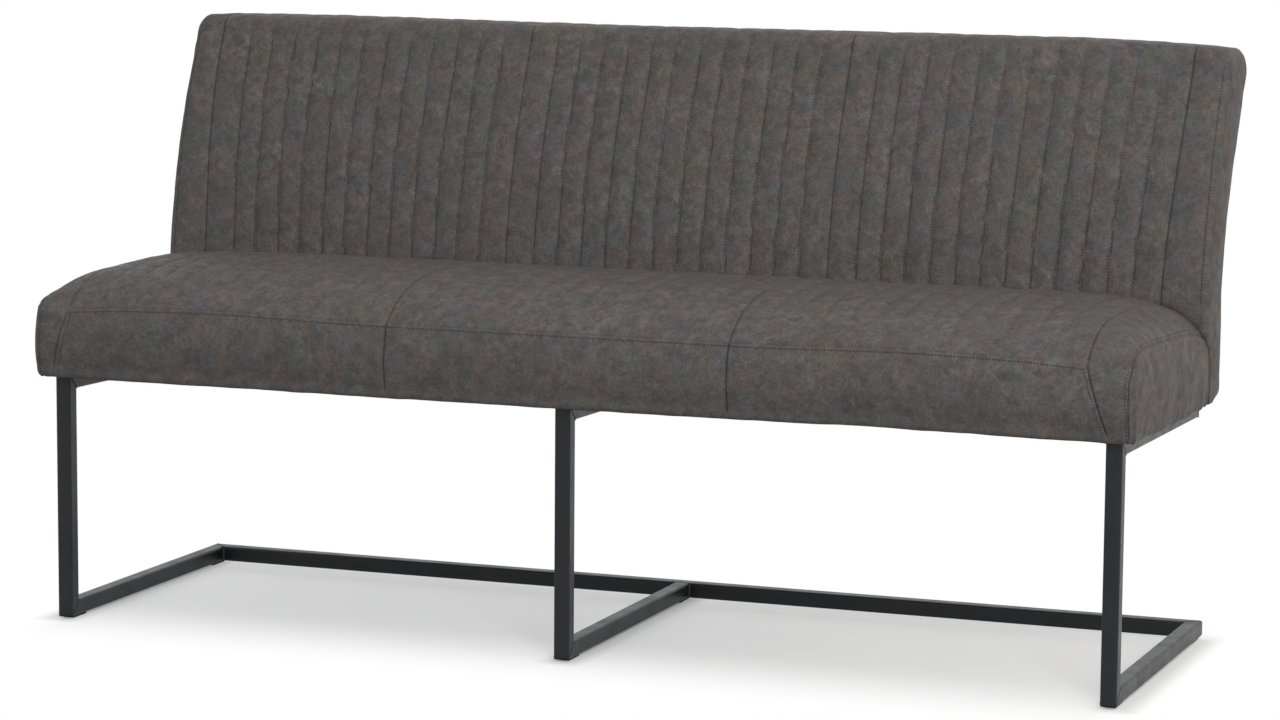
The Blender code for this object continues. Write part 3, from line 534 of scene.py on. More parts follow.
def backPoint(x, t, w):
    # t runs from the front over the thickness, w from the bottom to where the top's roll begins
    wide, half, lift, endSeam = np.abs(x), back["half"], sofa["lift"], sofa["endSeam"]
    edge = tuckIn(x, half, back["edge"])
    drop = np.where(x < 0, *[tuckIn(x, half, corner) for corner in back["corner"]])
    a, b, fall = back["frontRadius"], back["rearRadius"], back["topFall"]
    yA, zA, yB, zB, flat = backTop(edge)
    zFront = lift + (zA - drop - lift) * w
    zRear = lift + (zB - drop - lift) * w
    front = backFace(zFront + drop * w) + edge
    front = front + np.where(zFront < back["jointTop"], jointFace(x, zFront) - backFace(zFront), 0.0)
    small, large = back["bottomRoll"]
    rear = backFace(zRear + drop * w) + back["thickness"] - edge
    rear = rear - turnUnder(zRear, small + (large - small) * rampUp(wide, *back["rollEnds"]))
    # the top's line: round the front edge, along the top and round the rear edge
    arcA, arcB = a * (math.pi / 2 + fall), b * (math.pi / 2 - fall)
    s = t * (arcA + flat + arcB)
    turnA = np.clip(s / a, 0, math.pi / 2 + fall)
    turnB = np.clip((s - arcA - flat) / b, 0, math.pi / 2 - fall) + fall
    on, ahead = np.clip(s - arcA, 0.0, flat), s < arcA + flat
    overY = np.where(ahead, yA - a * np.cos(turnA) + on * math.cos(fall), yB + b * np.sin(turnB))
    overZ = np.where(ahead, zA + a * np.sin(turnA) - on * math.sin(fall), zB + b * np.cos(turnB)) - drop
    chordY = (yA - a) + (yB + b - yA + a) * t
    chordZ = zA - drop + (zB - zA) * t
    y = front + (rear - front) * t + (overY - chordY) * w ** back["topPower"]
    z = zFront + (zRear - zFront) * t + (overZ - chordZ) * w ** back["topPower"]
    # the panels widen, the left end stands up and the right corner droops
    high = rampUp(z, back["crease"], back["height"]) ** 0.8
    lean = back["spread"] * high * rampUp(wide, back["spreadFrom"], endSeam)
    lean = lean * (1 - rampUp(wide, endSeam + seamMargin, half))
    lean = lean + np.where(x < 0, *back["endSpread"]) * high * wide / half
    (rise, *left), (droop, *right) = back["leftRise"], back["rightDroop"]
    z = z + high * (rise * rampUp(-x, *left) - droop * rampUp(x, *right))
    under = back["endUnder"]
    under = tuckIn(np.maximum(under - zRear, 0.0), under, under)
    under = under * rampUp(wide, half - back["endUnderWidth"], half) * rampUp(t, 0.3, 1.0)
    out = np.sign(x) * (wide + lean + sideSwell(x, t, w, back, 0.5) - under) - back["offset"]
    return np.stack((out, y, z), axis=1)


def rearLevel(w):
    return w * backTop(0.0)[3] - back["rearSeam"]


def channelFade(x, rise):
    top = back["channelTop"] - back["lastLine"] * (x > stitchLines[-2] + seamMargin)
    less, right, high = back["fainter"]
    fainter = less * rampUp(x, *right) * rampUp(rise, *high)
    return (1 - rampUp(rise, top, top + back["channelFade"])) * (1 - fainter)


def backRelief(x, t, w, z, sides):
    onTop = sides["top"]
    onFront, onRear = sides["front"] & ~onTop, sides["rear"] & ~onTop
    shown = onFront | (onTop & (t < back["threadOver"]))
    rise = np.where(onTop, back["height"] - back["frontRadius"] + back["overTop"] * t, z)
    fade = channelFade(x, rise) * shown
    overTop = np.where(onTop, 1 - rampUp(t, *back["pillowOver"]), 1.0) * (shown | onTop)
    toStitch, kept = nearest(x, stitchLines), back["keptPillow"]
    down = back["pillowHeight"] * (1 - pillow(x)) * (kept + (1 - kept) * fade) * overTop * inPanels(x)
    down = down + back["stitchDepth"] * groove(toStitch, back["stitchWidth"]) * fade
    toPanel = np.where(onFront | (onTop & (t < back["seamOver"])), nearest(x, seamLines), farOff)
    # plain behind: one seam across, and two down from it
    level = rearLevel(w)
    behind = np.minimum(np.abs(level), np.where(level < 0, nearest(x, seamLines[1:3]), farOff))
    toPanel = np.where(onRear, behind, toPanel)
    toEdge = np.where(onFront, np.abs(back["half"] - back["edgeStitch"] - np.abs(x)), farOff)
    down = np.maximum(down, drawnIn(back, (toPanel,)) * np.where(onRear, back["rearDepth"], 1.0))
    down = down + back["edgeDepth"] * back["stitchDepth"] * groove(toEdge, back["stitchWidth"])
    faint, dark = back["shade"]
    channel, row, seam = back["shadeWidth"]
    shade = faint * np.maximum(groove(toStitch, channel) * fade, groove(toEdge, row))
    # painted shade on the front face just above the seat, in the crease, darker towards the ends
    depth, width = back["jointShade"]
    above = np.maximum(z - seatTop(x, np.full_like(x, back["creaseY"])), 0.0)
    creaseShade = depth * groove(above, width) * rampUp(np.abs(x), *sofa["creaseShadeEnds"]) * onFront
    return down, np.maximum(np.maximum(shade, creaseShade), dark * groove(toPanel, seam))


# stuffing: a coarser copy of each cover is swelled by pressure, held along its sewn lines
stuffing = {
    "spacing": 0.0135,
    "rowReach": 0.55 * 0.0135,    # a coarse row this close to a seam is on it
    "pressure": 4.0,
    "frames": 20,
    "tension": 15.0,
    "bending": 0.5,
    "smaller": 0.0022,      # the copy starts inside the cover by this
    "cap": 0.022,           # no point moves further than this
    "sewn": 0.9,            # how firmly the sewn lines are held
    "reach": 0.011,         # distance over which the copy's points share their movement
    "neighbours": 9,
}


def swell(name, xs, ts, ws, shape, holds):
    mesh, (x, t, w), sides = latticeMesh(name, xs, ts, ws)
    plain = shape(x, t, w)
    setPoints(mesh, plain)
    held = holds(x, t, w, sides, plain)
    start = plain - getNormals(mesh) * np.where(held > 0.99, 0.0, stuffing["smaller"])[:, None]
    setPoints(mesh, start)
    copy = bpy.data.objects.new(name, mesh)
    bpy.context.scene.collection.objects.link(copy)
    group = copy.vertex_groups.new(name="sewn")
    for step in np.unique(held):
        group.add(np.nonzero(held == step)[0].tolist(), float(step), "REPLACE")
    cloth = copy.modifiers.new("stuffing", "CLOTH")
    cloth.settings.use_pressure = True
    cloth.settings.uniform_pressure_force = stuffing["pressure"]
    cloth.settings.effector_weights.gravity = 0.0
    cloth.settings.tension_stiffness = cloth.settings.compression_stiffness = stuffing["tension"]
    cloth.settings.bending_stiffness = stuffing["bending"]
    cloth.settings.vertex_group_mass = "sewn"
    cloth.collision_settings.use_collision = False
    cloth.point_cache.frame_start, cloth.point_cache.frame_end = 1, stuffing["frames"]
    for step in range(1, stuffing["frames"] + 1):
        bpy.context.scene.frame_set(step)
    after = getPoints(copy.evaluated_get(bpy.context.evaluated_depsgraph_get()).data)
    bpy.context.scene.frame_set(1)
    move = after - start
    length = np.maximum(np.linalg.norm(move, axis=1), 1e-9)
    move *= (np.minimum(length, stuffing["cap"]) / length)[:, None]
    mean, most = [round(float(value) * 1000, 1) for value in (length.mean(), length.max())]
    print(name, "swelled by", mean, "mm, at most", most)
    tree = kdtree.KDTree(len(plain))
    for n, point in enumerate(plain):
        tree.insert(point, n)
    tree.balance()
    bpy.data.objects.remove(copy)
    bpy.data.meshes.remove(mesh)
    return tree, start + move - plain


def stuffed(name, points, settings, rounding, shape, holds):
    found = np.zeros_like(points)
    endSteps, deep, tall = settings["coarse"]
    wide = acrossStations(settings["half"], rounding, (stuffing["spacing"],), stuffing["spacing"], endSteps)
    tree, move = swell(name, wide, np.linspace(0, 1, deep), np.linspace(0, 1, tall), shape, holds)
    for n, point in enumerate(points):
        near = tree.find_n(point, stuffing["neighbours"])
        weight = np.array([math.exp(-(d / stuffing["reach"]) ** 2) + 1e-9 for _, _, d in near])
        found[n] = weight @ move[[i for _, i, _ in near]] / weight.sum()
    return found


def seatHolds(x, t, w, sides, points):
    toPanel, toFront, toBoxing, deep = seatLines(x, t, w, sides)
    held = np.where(nearest(x, stitchLines) < sewnReach, np.round(stuffing["sewn"] * deep, 1), 0.0)
    seams = (toPanel < sewnReach) | (inPanels(x, seat["seamReach"]) & (toFront < sewnReach))
    held = np.where(seams | (toBoxing < 2.5 * sewnReach), stuffing["sewn"], held)
    return np.where(sides["bottom"] | sides["rear"], 1.0, held)


def backHolds(x, t, w, sides, points):
    onFront, onRear, z = sides["front"], sides["rear"], points[:, 2]
    below = z < back["channelTop"] + back["heldAbove"]
    stitched = onFront & below & (nearest(x, stitchLines) < sewnReach)
    seams = (onFront | (sides["top"] & (t < back["heldOver"]))) & (nearest(x, seamLines) < sewnReach)
    edges = (onFront | onRear) & (back["half"] - np.abs(x) < sewnReach)
    rearSeam = onRear & (np.abs(rearLevel(w)) < stuffing["rowReach"])
    held = np.where(stitched | seams | edges | rearSeam, stuffing["sewn"], 0.0)
    return np.where(sides["bottom"] | (onFront & (z < back["jointTop"])), 1.0, held)


def addCushion(name, mesh, points, shade, quiet, material):
    setPoints(mesh, toWorld(points))
    # dark of the seams together with the painted crease shade, and the quiet ends
    for attribute, values in (("seamShade", shade), ("quiet", quiet)):
        layer = mesh.attributes.new(attribute, "FLOAT", "POINT")
        layer.data.foreach_set("value", np.ascontiguousarray(values, dtype=np.float32))
    mesh.shade_smooth()
    for face in mesh.polygons:
        if len(face.vertices) > 4:      # the flat hidden sides
            face.use_smooth = False
    return addPiece(name, mesh, material)


def buildSeat(material):
    wide = acrossStations(seat["half"], seat["edge"])
    deep, tall = [rowStations(length, seam) for length, seam in zip(seat["rows"], (False, True))]
    mesh, (x, t, w), sides = latticeMesh("seat_cushion", wide, deep, tall, ((2, -1), (1, 1)))
    points = seatPoint(x, t, w)
    setPoints(mesh, points)
    normals = getNormals(mesh)
    swelled = stuffed("seat_stuffing", points, seat, seat["edge"], seatPoint, seatHolds)
    down, shade = seatRelief(x, t, w, sides)
    folds = sum(fold(points, *look) for look in seat["folds"])
    folds += np.where(sides["end"], fold(points, *seat["sideFold"]), 0.0)
    hidden = sides["bottom"] | sides["rear"]
    points = points + normals * np.where(hidden, 0.0, folds - down)[:, None] + swelled
    piece = addCushion("seat_cushion", mesh, points, shade, sides["end"], material)
    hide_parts("seat_cover", "seat_foam")
    return piece


def backRows():
    # closer together low down and beside the rear seam
    rise, low = back["height"] - back["frontRadius"], back["lowRows"]
    atSeam = back["rearSeam"] / backTop(0.0)[3]
    found = np.concatenate((np.array(low) / rise, np.linspace(low[-1] / rise, 1, back["highRows"])[1:]))
    found = found[np.abs(found - atSeam) > back["seamClear"]]
    return np.sort(np.concatenate((found, atSeam + np.array(back["seamRows"]) / rise)))


def buildBack(material):
    corner = max(back["corner"])
    wide = acrossStations(back["half"], corner, rowLines=(back["half"] - back["edgeStitch"],))
    deep = np.linspace(0, 1, back["depthRows"])
    mesh, (x, t, w), sides = latticeMesh("back_cushion", wide, deep, backRows(), ((2, -1),))
    points = backPoint(x, t, w)
    setPoints(mesh, points)
    normals = getNormals(mesh)
    swelled = stuffed("back_stuffing", points, back, corner, backPoint, backHolds)
    less, height = back["lessOver"]
    swelled = swelled * (1 - less * rampUp(w, height, 1.0))[:, None]
    down, shade = backRelief(x, t, w, points[:, 2], sides)
    folds = sum(fold(points, *look) for look in back["folds"])
    points = points + normals * np.where(sides["bottom"], 0.0, folds - down)[:, None] + swelled
    piece = addCushion("back_cushion", mesh, points, shade, sides["end"], material)
    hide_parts("back_cover", "back_foam")
    return piece


# thin cloth stapled under the seat, slack between the runners
dustCover = {
    "half": 0.829, "front": 0.001, "rear": 0.514, "thickness": 0.0007,
    "segments": (110, 36),
    "sag": 0.0045,
    "runners": (0.014, 0.805),        # between these it hangs free
    "margins": (0.045, 0.040),        # and clear of the front and rear rails
    "ripple": (0.0008, 0.09, 6.0, (0.4, 1, 1)),
}


def buildDustCover(material):
    wide, deep = dustCover["half"], dustCover["rear"] - dustCover["front"]
    bm = bmesh.new()
    bmesh.ops.create_grid(bm, x_segments=dustCover["segments"][0], y_segments=dustCover["segments"][1], size=1.0)
    mesh = meshFrom("under_cloth", bm)
    across, along = np.round(getPoints(mesh), 3).T[:2]
    x, y = across * wide, dustCover["front"] + (along + 1) / 2 * deep
    inner, outer = dustCover["runners"]
    front, rear = dustCover["margins"]
    hang = arch((np.abs(x) - inner) / (outer - inner), 0.8) * arch((y - front) / (deep - front - rear), 0.8)
    points = np.stack((x, y, np.full_like(x, sofa["lift"])), axis=1)
    points[:, 2] += hang * (fold(points, *dustCover["ripple"]) - dustCover["sag"])
    setPoints(mesh, toWorld(points))
    mesh.shade_smooth()
    piece = addPiece("under_cloth", mesh, material)
    thick = piece.modifiers.new("thickness", "SOLIDIFY")
    thick.thickness, thick.offset = dustCover["thickness"], 1.0
    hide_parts("dust_cover")


# one stitch of thread, repeated along every sewn line
stitch = {
    "length": 0.0027, "width": 0.0023, "height": 0.0015,
    "drawnDown": 0.0011,      # a faint stitch sinks into the leather by up to this
    "buried": 0.55,           # and is left out past this share of its height
    "step": 0.001,            # the line's direction is taken this far either way
}


def runOfStitches(tree, path, strength, bm):
    path = toWorld(path)
    strength = np.broadcast_to(strength, len(path))
    steps = np.linalg.norm(np.diff(path, axis=0), axis=1)
    along = np.concatenate(((0.0,), np.cumsum(steps)))
    count = max(1, int(along[-1] / sofa["stitchPitch"]))
    size = Matrix.Diagonal((stitch["width"] / 2, stitch["length"] / 2, stitch["height"] / 2, 1))
    line = bmesh.new()
    for place in (np.arange(count) + 0.5) * along[-1] / count:
        before, at, ahead = [Vector([np.interp(place + step, along, path[:, axis]) for axis in range(3)])
                             for step in (-stitch["step"], 0.0, stitch["step"])]
        hidden = stitch["drawnDown"] * (1 - np.interp(place, along, strength))
        if hidden > stitch["buried"] * stitch["height"]:
            continue
        hit, normal = tree.find_nearest(at)[:2]
        forward = ahead - before
        forward = (forward - normal * forward.dot(normal)).normalized()
        turn = Matrix((normal.cross(forward), forward, normal)).transposed().to_4x4()
        spot = Matrix.Translation(hit - normal * hidden)
        bmesh.ops.create_icosphere(line, subdivisions=1, radius=1.0, matrix=spot @ turn @ size)
    carrier = meshFrom("stitches", line)      # line by line, because a large bmesh is slow to add to
    bm.from_mesh(carrier)
    bpy.data.meshes.remove(carrier)


def stitchPiece(name, target, paths, material):
    tree = BVHTree.FromObject(target, bpy.context.evaluated_depsgraph_get())
    bm = bmesh.new()
    for path, strength in paths:
        runOfStitches(tree, path, strength, bm)
    mesh = meshFrom(name, bm)
    mesh.shade_smooth()
    piece = addPiece(name, mesh, material)


# where the rows of stitches start and end, as shares of the depth or the height
stitchRuns = {
    "seatChannel": (0.02, 0.985),
    "seatFront": (0.001, 0.004),      # short of the left and right end seams by this
    "endSeam": (0.06, 0.92),
    "besideEndSeam": 0.0048,
    "boxingFront": (0.05, 0.98),
    "boxingTop": (0.005, 0.945),
    "besideBoxingTop": 0.6,           # closer to its seam than in front
    "backChannel": 0.004,             # above the crease by this
    "backEdge": (0.30, 1.0),
    "backRear": 0.845,                # to either side of the middle
    "belowRearSeam": 0.006,
}


def between(run, ends):
    low, high = ends
    return low + (high - low) * run


def seatPaths():
    paths = []
    run = np.linspace(0.0, 1.0, 120)
    same = np.ones_like(run)
    t = between(run, stitchRuns["seatChannel"])
    for x in stitchLines:
        paths.append((seatPoint(x * same, t, same), seat["thread"] * seatChannel(t)))
    left, right = stitchRuns["seatFront"]
    wide = np.linspace(-sofa["endSeam"] + left, sofa["endSeam"] - right, 900)
    paths.append((seatPoint(wide, 0 * wide, 1 - seat["frontStitch"] / bandTop(wide)), 1.0))
    w = between(run, stitchRuns["boxingFront"])
    for side in (-1, 1):
        # down the end seam, down the boxing seam in front and along it on top
        x = side * (sofa["endSeam"] - stitchRuns["besideEndSeam"])
        paths.append((seatPoint(x * same, 0 * run, between(run, stitchRuns["endSeam"])), 0.9))
        x = side * (seat["half"] - boxingInset(w, True) - seat["boxingStitch"])
        paths.append((seatPoint(x, 0 * run, w), 1.0))
        beside = stitchRuns["besideBoxingTop"] * seat["boxingStitch"]
        x = side * (seat["half"] - boxingInset(same, False) - beside)
        paths.append((seatPoint(x, between(run, stitchRuns["boxingTop"]), same), 0.7))
    return paths


def backPaths():
    paths = []
    run = np.linspace(0.0, 1.0, 160)
    same = np.ones_like(run)
    rise = back["height"] - back["frontRadius"]
    w = between(run, ((back["crease"] + stitchRuns["backChannel"]) / rise, 1))
    for x in stitchLines:
        paths.append((backPoint(x * same, 0 * run, w), channelFade(x, w * rise)))
    for side in (-1, 1):
        x = side * (back["half"] - back["edgeStitch"])
        paths.append((backPoint(x * same, 0 * run, between(run, stitchRuns["backEdge"])), 1.0))
    # one row below the seam across the rear
    wide = np.linspace(-stitchRuns["backRear"], stitchRuns["backRear"], 900)
    below = (back["rearSeam"] - stitchRuns["belowRearSeam"]) / backTop(0.0)[3]
    paths.append((backPoint(wide, 1 + 0 * wide, below + 0 * wide), 0.9))
    return paths


# weld beads at the frame's joints: run up to fill the inner corners, and ground flat across the mitres
weld = {
    "corner": (0.0030, 0.0019, 0.0046),       # a bead's half width, half length and height
    "flat": (0.0015, 0.0010, 0.0004),
    "pitch": 0.0021,                          # of the corner beads; the flat ones are closer
    "overlap": 1.25,
    "ripple": 0.14,
    "inset": 0.003,                           # beads stop short of the tubes' edges
}


def runOfBeads(bm, start, end, normal, size):
    start, end, normal = Vector(start), Vector(end), Vector(normal).normalized()
    forward = (end - start).normalized()
    turn = Matrix((normal.cross(forward), forward, normal)).transposed().to_4x4()
    count = max(2, round((end - start).length / (weld["pitch"] * size[1] / weld["corner"][1])))
    for i in range(count):
        at = start.lerp(end, (i + 0.5) / count)
        ripple = 1 + weld["ripple"] * noise.noise(at * 900)
        shape = Matrix.Diagonal((size[0] * ripple, size[1] * weld["overlap"], size[2] * ripple, 1))
        bmesh.ops.create_icosphere(bm, subdivisions=1, radius=1.0, matrix=Matrix.Translation(at) @ turn @ shape)


def buildWelds(material):
    bm = bmesh.new()
    railLow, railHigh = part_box("rear_floor_rail")
    rail = railLow.y
    corner, flat, inset = weld["corner"], weld["flat"], weld["inset"]
    for side in ("left", "middle", "right"):
        low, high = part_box("front_post_" + side)
        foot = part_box("floor_runner_" + side)
        left, right = low.x + inset, high.x - inset
        faces = ((low.x, -1), (high.x, 1))
        inner, front, tube = high.y, low.y, high.y - low.y
        footTop, footLow = foot[1].z, foot[0].z
        under = toWorld(np.array(((0.0, tube, -tube),)))[0][2]
        # foot and top of the post
        runOfBeads(bm, (left, inner, footTop), (right, inner, footTop), (0, 1, 1), corner)
        runOfBeads(bm, (left, inner, under), (right, inner, under), (0, 1, -1), corner)
        for x, out in faces:
            runOfBeads(bm, (x, inner, footTop), (x, front + inset, footLow + inset), (out, 0, 0), flat)
            runOfBeads(bm, (x, inner, under), (x, front + inset, sofa["deck"] - inset), (out, 0, 0), flat)
        # where the runner meets the rear rail
        if side == "middle":
            for x, out in faces:
                runOfBeads(bm, (x, rail, footLow + inset), (x, rail, footTop - inset), (out, -1, 0), corner)
            runOfBeads(bm, (left, rail, footTop), (right, rail, footTop), (0, 0, 1), flat)
        else:
            x, far, out = (high.x, low.x, -1) if side == "left" else (low.x, high.x, 1)
            runOfBeads(bm, (x, rail, footLow + inset), (x, rail, footTop - inset), (-out, -1, 0), corner)
            runOfBeads(bm, (x, rail, footTop), (far - out * inset, railHigh.y - inset, footTop), (0, 0, 1), flat)
    mesh = meshFrom("frame_welds", bm)
    mesh.shade_smooth()
    piece = addPiece("frame_welds", mesh, material)


class Wire:
    # a socket that takes part in sums, each of which adds a Math node
    def __init__(self, finish, socket):
        self.finish, self.socket = finish, socket

    def maths(self, operation, first, second=0.0):
        return self.finish.add("ShaderNodeMath", {"operation": operation}, {0: first, 1: second})

    def __add__(self, other):
        return self.maths("ADD", self, other)

    def __sub__(self, other):
        return self.maths("SUBTRACT", self, other)

    def __rsub__(self, other):
        return self.maths("SUBTRACT", other, self)

    def __mul__(self, other):
        return self.maths("MULTIPLY", self, other)

    def __abs__(self):
        return self.maths("ABSOLUTE", self)

    def larger(self, other):
        return self.maths("MAXIMUM", self, other)

    def smaller(self, other):
        return self.maths("MINIMUM", self, other)

    __radd__ = __add__
    __rmul__ = __mul__


class Finish:
    # the nodes of one material, or of the world
    def __init__(self, owner, **constants):
        self.owner = owner
        owner.use_nodes = True
        self.tree = owner.node_tree
        self.shader = next(n for n in self.tree.nodes if n.type in ("BSDF_PRINCIPLED", "BACKGROUND"))
        for socket, value in constants.items():
            self.shader.inputs[socket.replace("_", " ")].default_value = value

    def add(self, kind, settings=None, sockets=None, output=0):
        node = self.tree.nodes.new(kind)
        for setting, value in (settings or {}).items():
            if setting == "stops":
                self.setStops(node.color_ramp, value)
            else:
                setattr(node, setting, value)
        for socket, value in (sockets or {}).items():
            self.feed(node.inputs[socket], value)
        return Wire(self, node.outputs[output])

    def setStops(self, ramp, stops):
        while len(ramp.elements) < len(stops):
            ramp.elements.new(1.0)
        for element, (place, value) in zip(ramp.elements, stops):
            element.position, element.color = place, (value, value, value, 1.0)

    def feed(self, socket, value):
        if isinstance(value, Wire):
            self.tree.links.new(value.socket, socket)
        else:
            socket.default_value = value

    def surface(self, **links):
        for socket, value in links.items():
            self.feed(self.shader.inputs[socket.replace("_", " ")], value)

    def mix(self, share, first, second):
        first, second = [(*c, 1.0) if isinstance(c, tuple) else c for c in (first, second)]
        return self.add("ShaderNodeMix", {"data_type": "RGBA"}, {0: share, 6: first, 7: second}, 2)

    def ramp(self, value, *stops):
        return self.add("ShaderNodeValToRGB", {"stops": stops}, {0: value})

    def objectPlace(self):
        return self.add("ShaderNodeTexCoord", output="Object")

    def attribute(self, name):
        return self.add("ShaderNodeAttribute", {"attribute_name": name}, output="Fac")

    def cloud(self, place, scale, detail=4.0, roughness=0.55, distortion=0.0):
        return self.add("ShaderNodeTexNoise", {}, {"Vector": place, "Scale": scale, "Detail": detail,
                                                   "Roughness": roughness, "Distortion": distortion})

    def spots(self, place, shape, low, high, least=0.0):
        # a cloud with clearer edges
        return self.ramp(self.cloud(place, *shape), (low, least), (high, 1.0))

    def bump(self, height, strength, distance, **normal):
        sockets = {"Strength": strength, "Distance": distance, "Height": height}
        return self.add("ShaderNodeBump", {}, {**sockets, **normal})

    def within(self, *spans):
        # 1 where every place is at the first end of its span, fading to 0 at the other
        share = 1.0
        for place, (full, none) in spans:
            share = share * self.add("ShaderNodeMapRange", {"interpolation_type": "SMOOTHSTEP"},
                                     {"Value": place, "From Min": none, "From Max": full})
        return share

    def seenRays(self):
        # 1 for what the camera sees, straight or in a reflection
        seen = 0.0
        for ray in ("Is Camera Ray", "Is Glossy Ray", "Is Transmission Ray"):
            seen = self.add("ShaderNodeLightPath", output=ray).larger(seen)
        return seen


def linear(red, green, blue):
    # screen colour, 0 to 255, as the shader takes it
    return tuple(((c / 255 + 0.055) / 1.055) ** 2.4 if c > 10 else c / 255 / 12.92 for c in (red, green, blue))


leatherLook = {
    "warm": linear(111, 98, 86),
    "cool": linear(93, 95, 102),
    "rose": linear(111, 94, 98),
    "moss": linear(92, 102, 91),
    "pale": linear(130, 125, 121),
    "deep": linear(56, 54, 53),
    # dark of the seams, also the colour of the painted shade in the seat-back crease
    "seam": linear(18, 18, 18),
    # scale, detail, roughness and distortion of each cloud, and the levels where it starts and is full
    "patches": ((26.0, 5.0, 0.62, 0.8), 0.34, 0.66),
    "tint": ((30.0, 5.0, 0.64, 0.6), 0.38, 0.62),
    "mottle": ((52.0, 6.0, 0.66, 0.4), 0.34, 0.68),
    "speck": ((300.0, 3.0, 0.65), 0.40, 0.68),
    "worn": ((13.0, 3.0), 0.38, 0.62, 0.30),
    "streak": ((1.0, 5.0, 0.64, 0.35), 0.54, 0.76),
    "streakSize": (24.0, 78.0, 78.0),
    "streakWays": ((0.75, 0.45, 0.48), (-0.70, 0.50, 0.50), (0.45, 0.80, -0.40), (-0.2, 0.55, 0.81)),
    # how strongly each shows, and how much less on the quiet ends
    "tintShare": 0.42, "tintLess": 0.20,
    "mottleShare": 0.56, "speckShare": 0.54,
    "wispShare": 0.36, "wispLess": 0.75,
    "roughness": 0.60, "duller": 0.14, "smoother": 0.06,      # duller in the mottling, smoother where worn
    "specular": 0.13,
    "grain": 620.0, "grainEdge": 0.22, "grainHeight": 0.5,
    "wrinkle": (130.0, 4.0, 0.6), "wrinkleHeight": 1.2,
    "bump": (0.30, 0.0007),
}


def leatherFinish():
    look = leatherLook
    f = Finish(bpy.data.materials.new("grey_leather"), Specular_IOR_Level=look["specular"])
    place, quiet = f.objectPlace(), f.attribute("quiet")
    tone = f.mix(f.spots(place, *look["patches"]), look["cool"], look["warm"])
    tint = f.mix(f.spots(place, *look["tint"]), look["rose"], look["moss"])
    tone = f.mix(look["tintShare"] - quiet * look["tintLess"], tone, tint)
    mottle = f.spots(place, *look["mottle"])
    tone = f.mix(mottle * look["mottleShare"], tone, look["deep"])
    tone = f.mix(f.spots(place, *look["speck"]) * look["speckShare"], tone, look["deep"])
    wisps = 0.0     # pale marks that run several ways
    for way in look["streakWays"]:
        turn = Vector(way).rotation_difference(Vector((1, 0, 0))).to_euler()
        turned = f.add("ShaderNodeVectorRotate", {"rotation_type": "EULER_XYZ"},
                       {"Vector": place, "Rotation": turn})
        along = f.add("ShaderNodeMapping", {}, {"Vector": turned, "Scale": look["streakSize"]})
        wisps = f.spots(along, *look["streak"]) + wisps
    wisps = wisps * f.spots(place, *look["worn"]) * (1 - quiet * look["wispLess"])
    tone = f.mix(wisps * look["wispShare"], tone, look["pale"])
    # darker at the seams, and painted shade in the crease between seat and back
    tone = f.mix(f.attribute("seamShade"), tone, look["seam"])
    grain = f.add("ShaderNodeTexVoronoi", {"feature": "DISTANCE_TO_EDGE"},
                  {"Vector": place, "Scale": look["grain"]})
    height = f.ramp(grain, (0.0, 0.0), (look["grainEdge"], 1.0)) * look["grainHeight"]
    height = height + f.cloud(place, *look["wrinkle"]) * look["wrinkleHeight"]
    roughness = look["roughness"] + (mottle - 0.5) * look["duller"] - wisps * look["smoother"]
    f.surface(Base_Color=tone, Roughness=roughness, Normal=f.bump(height, *look["bump"]))
    return f.owner


def threadFinish():
    f = Finish(bpy.data.materials.new("dark_thread"), Roughness=0.7)
    twist = f.cloud(f.objectPlace(), 900.0, 2.0)
    f.surface(Base_Color=f.mix(twist, linear(16, 16, 16), linear(32, 31, 31)))
    return f.owner


steelLook = {
    "paint": (linear(20, 22, 27), linear(36, 38, 43)),      # plain and worn
    "bead": (linear(48, 50, 55), linear(64, 66, 70)),
    "blotch": ((26.0, 5.0, 0.6), 0.35, 0.7), "blotchShare": 0.35,
    "roughness": 0.34, "duller": 0.12,
    "specular": 0.30,
    "speck": (420.0, 3.0), "bump": (0.10, 0.0004),
    "rounding": 0.0032,
}


def steelFinish(name, low, high):
    look = steelLook
    f = Finish(bpy.data.materials.new(name), Metallic=0.0, Specular_IOR_Level=look["specular"])
    place = f.objectPlace()
    blotch = f.spots(place, *look["blotch"])
    speck = f.cloud(place, *look["speck"])
    edges = f.add("ShaderNodeBevel", {"samples": 4}, {"Radius": look["rounding"]})
    f.surface(Base_Color=f.mix(blotch * look["blotchShare"], low, high),
              Roughness=look["roughness"] + blotch * look["duller"],
              Normal=f.bump(speck, *look["bump"], Normal=edges))
    return f.owner


# darker and lighter colour, scale of the pattern and roughness; then metallic, and how the pattern is stretched
plainLooks = {
    "black_plastic": (linear(24, 24, 25), linear(38, 38, 39), 300.0, 0.55),
    "timber": (linear(178, 142, 96), linear(206, 172, 124), 30.0, 0.7, 0.0, (0.3, 3, 3)),
    "hardboard": (linear(112, 80, 52), linear(140, 104, 70), 160.0, 0.75),
    "webbing": (linear(40, 40, 40), linear(72, 72, 70), 500.0, 0.85),
    "foam": (linear(214, 206, 170), linear(236, 228, 198), 260.0, 0.95),
    "dust_cloth": (linear(20, 20, 21), linear(34, 34, 35), 400.0, 0.95),
    "zinc_steel": (linear(170, 170, 166), linear(200, 200, 198), 120.0, 0.32, 1.0),
}


def plainFinish(name, low, high, scale, roughness, metallic=0.0, stretch=(1, 1, 1)):
    f = Finish(bpy.data.materials.new(name), Metallic=metallic)
    place = f.add("ShaderNodeMapping", {}, {"Vector": f.objectPlace(), "Scale": stretch})
    cloud = f.cloud(place, scale, 5.0, 0.6)
    f.surface(Base_Color=f.mix(cloud, low, high), Roughness=roughness + (cloud - 0.5) * 0.2,
              Normal=f.bump(cloud, 0.25, 0.0004))
    return f.owner


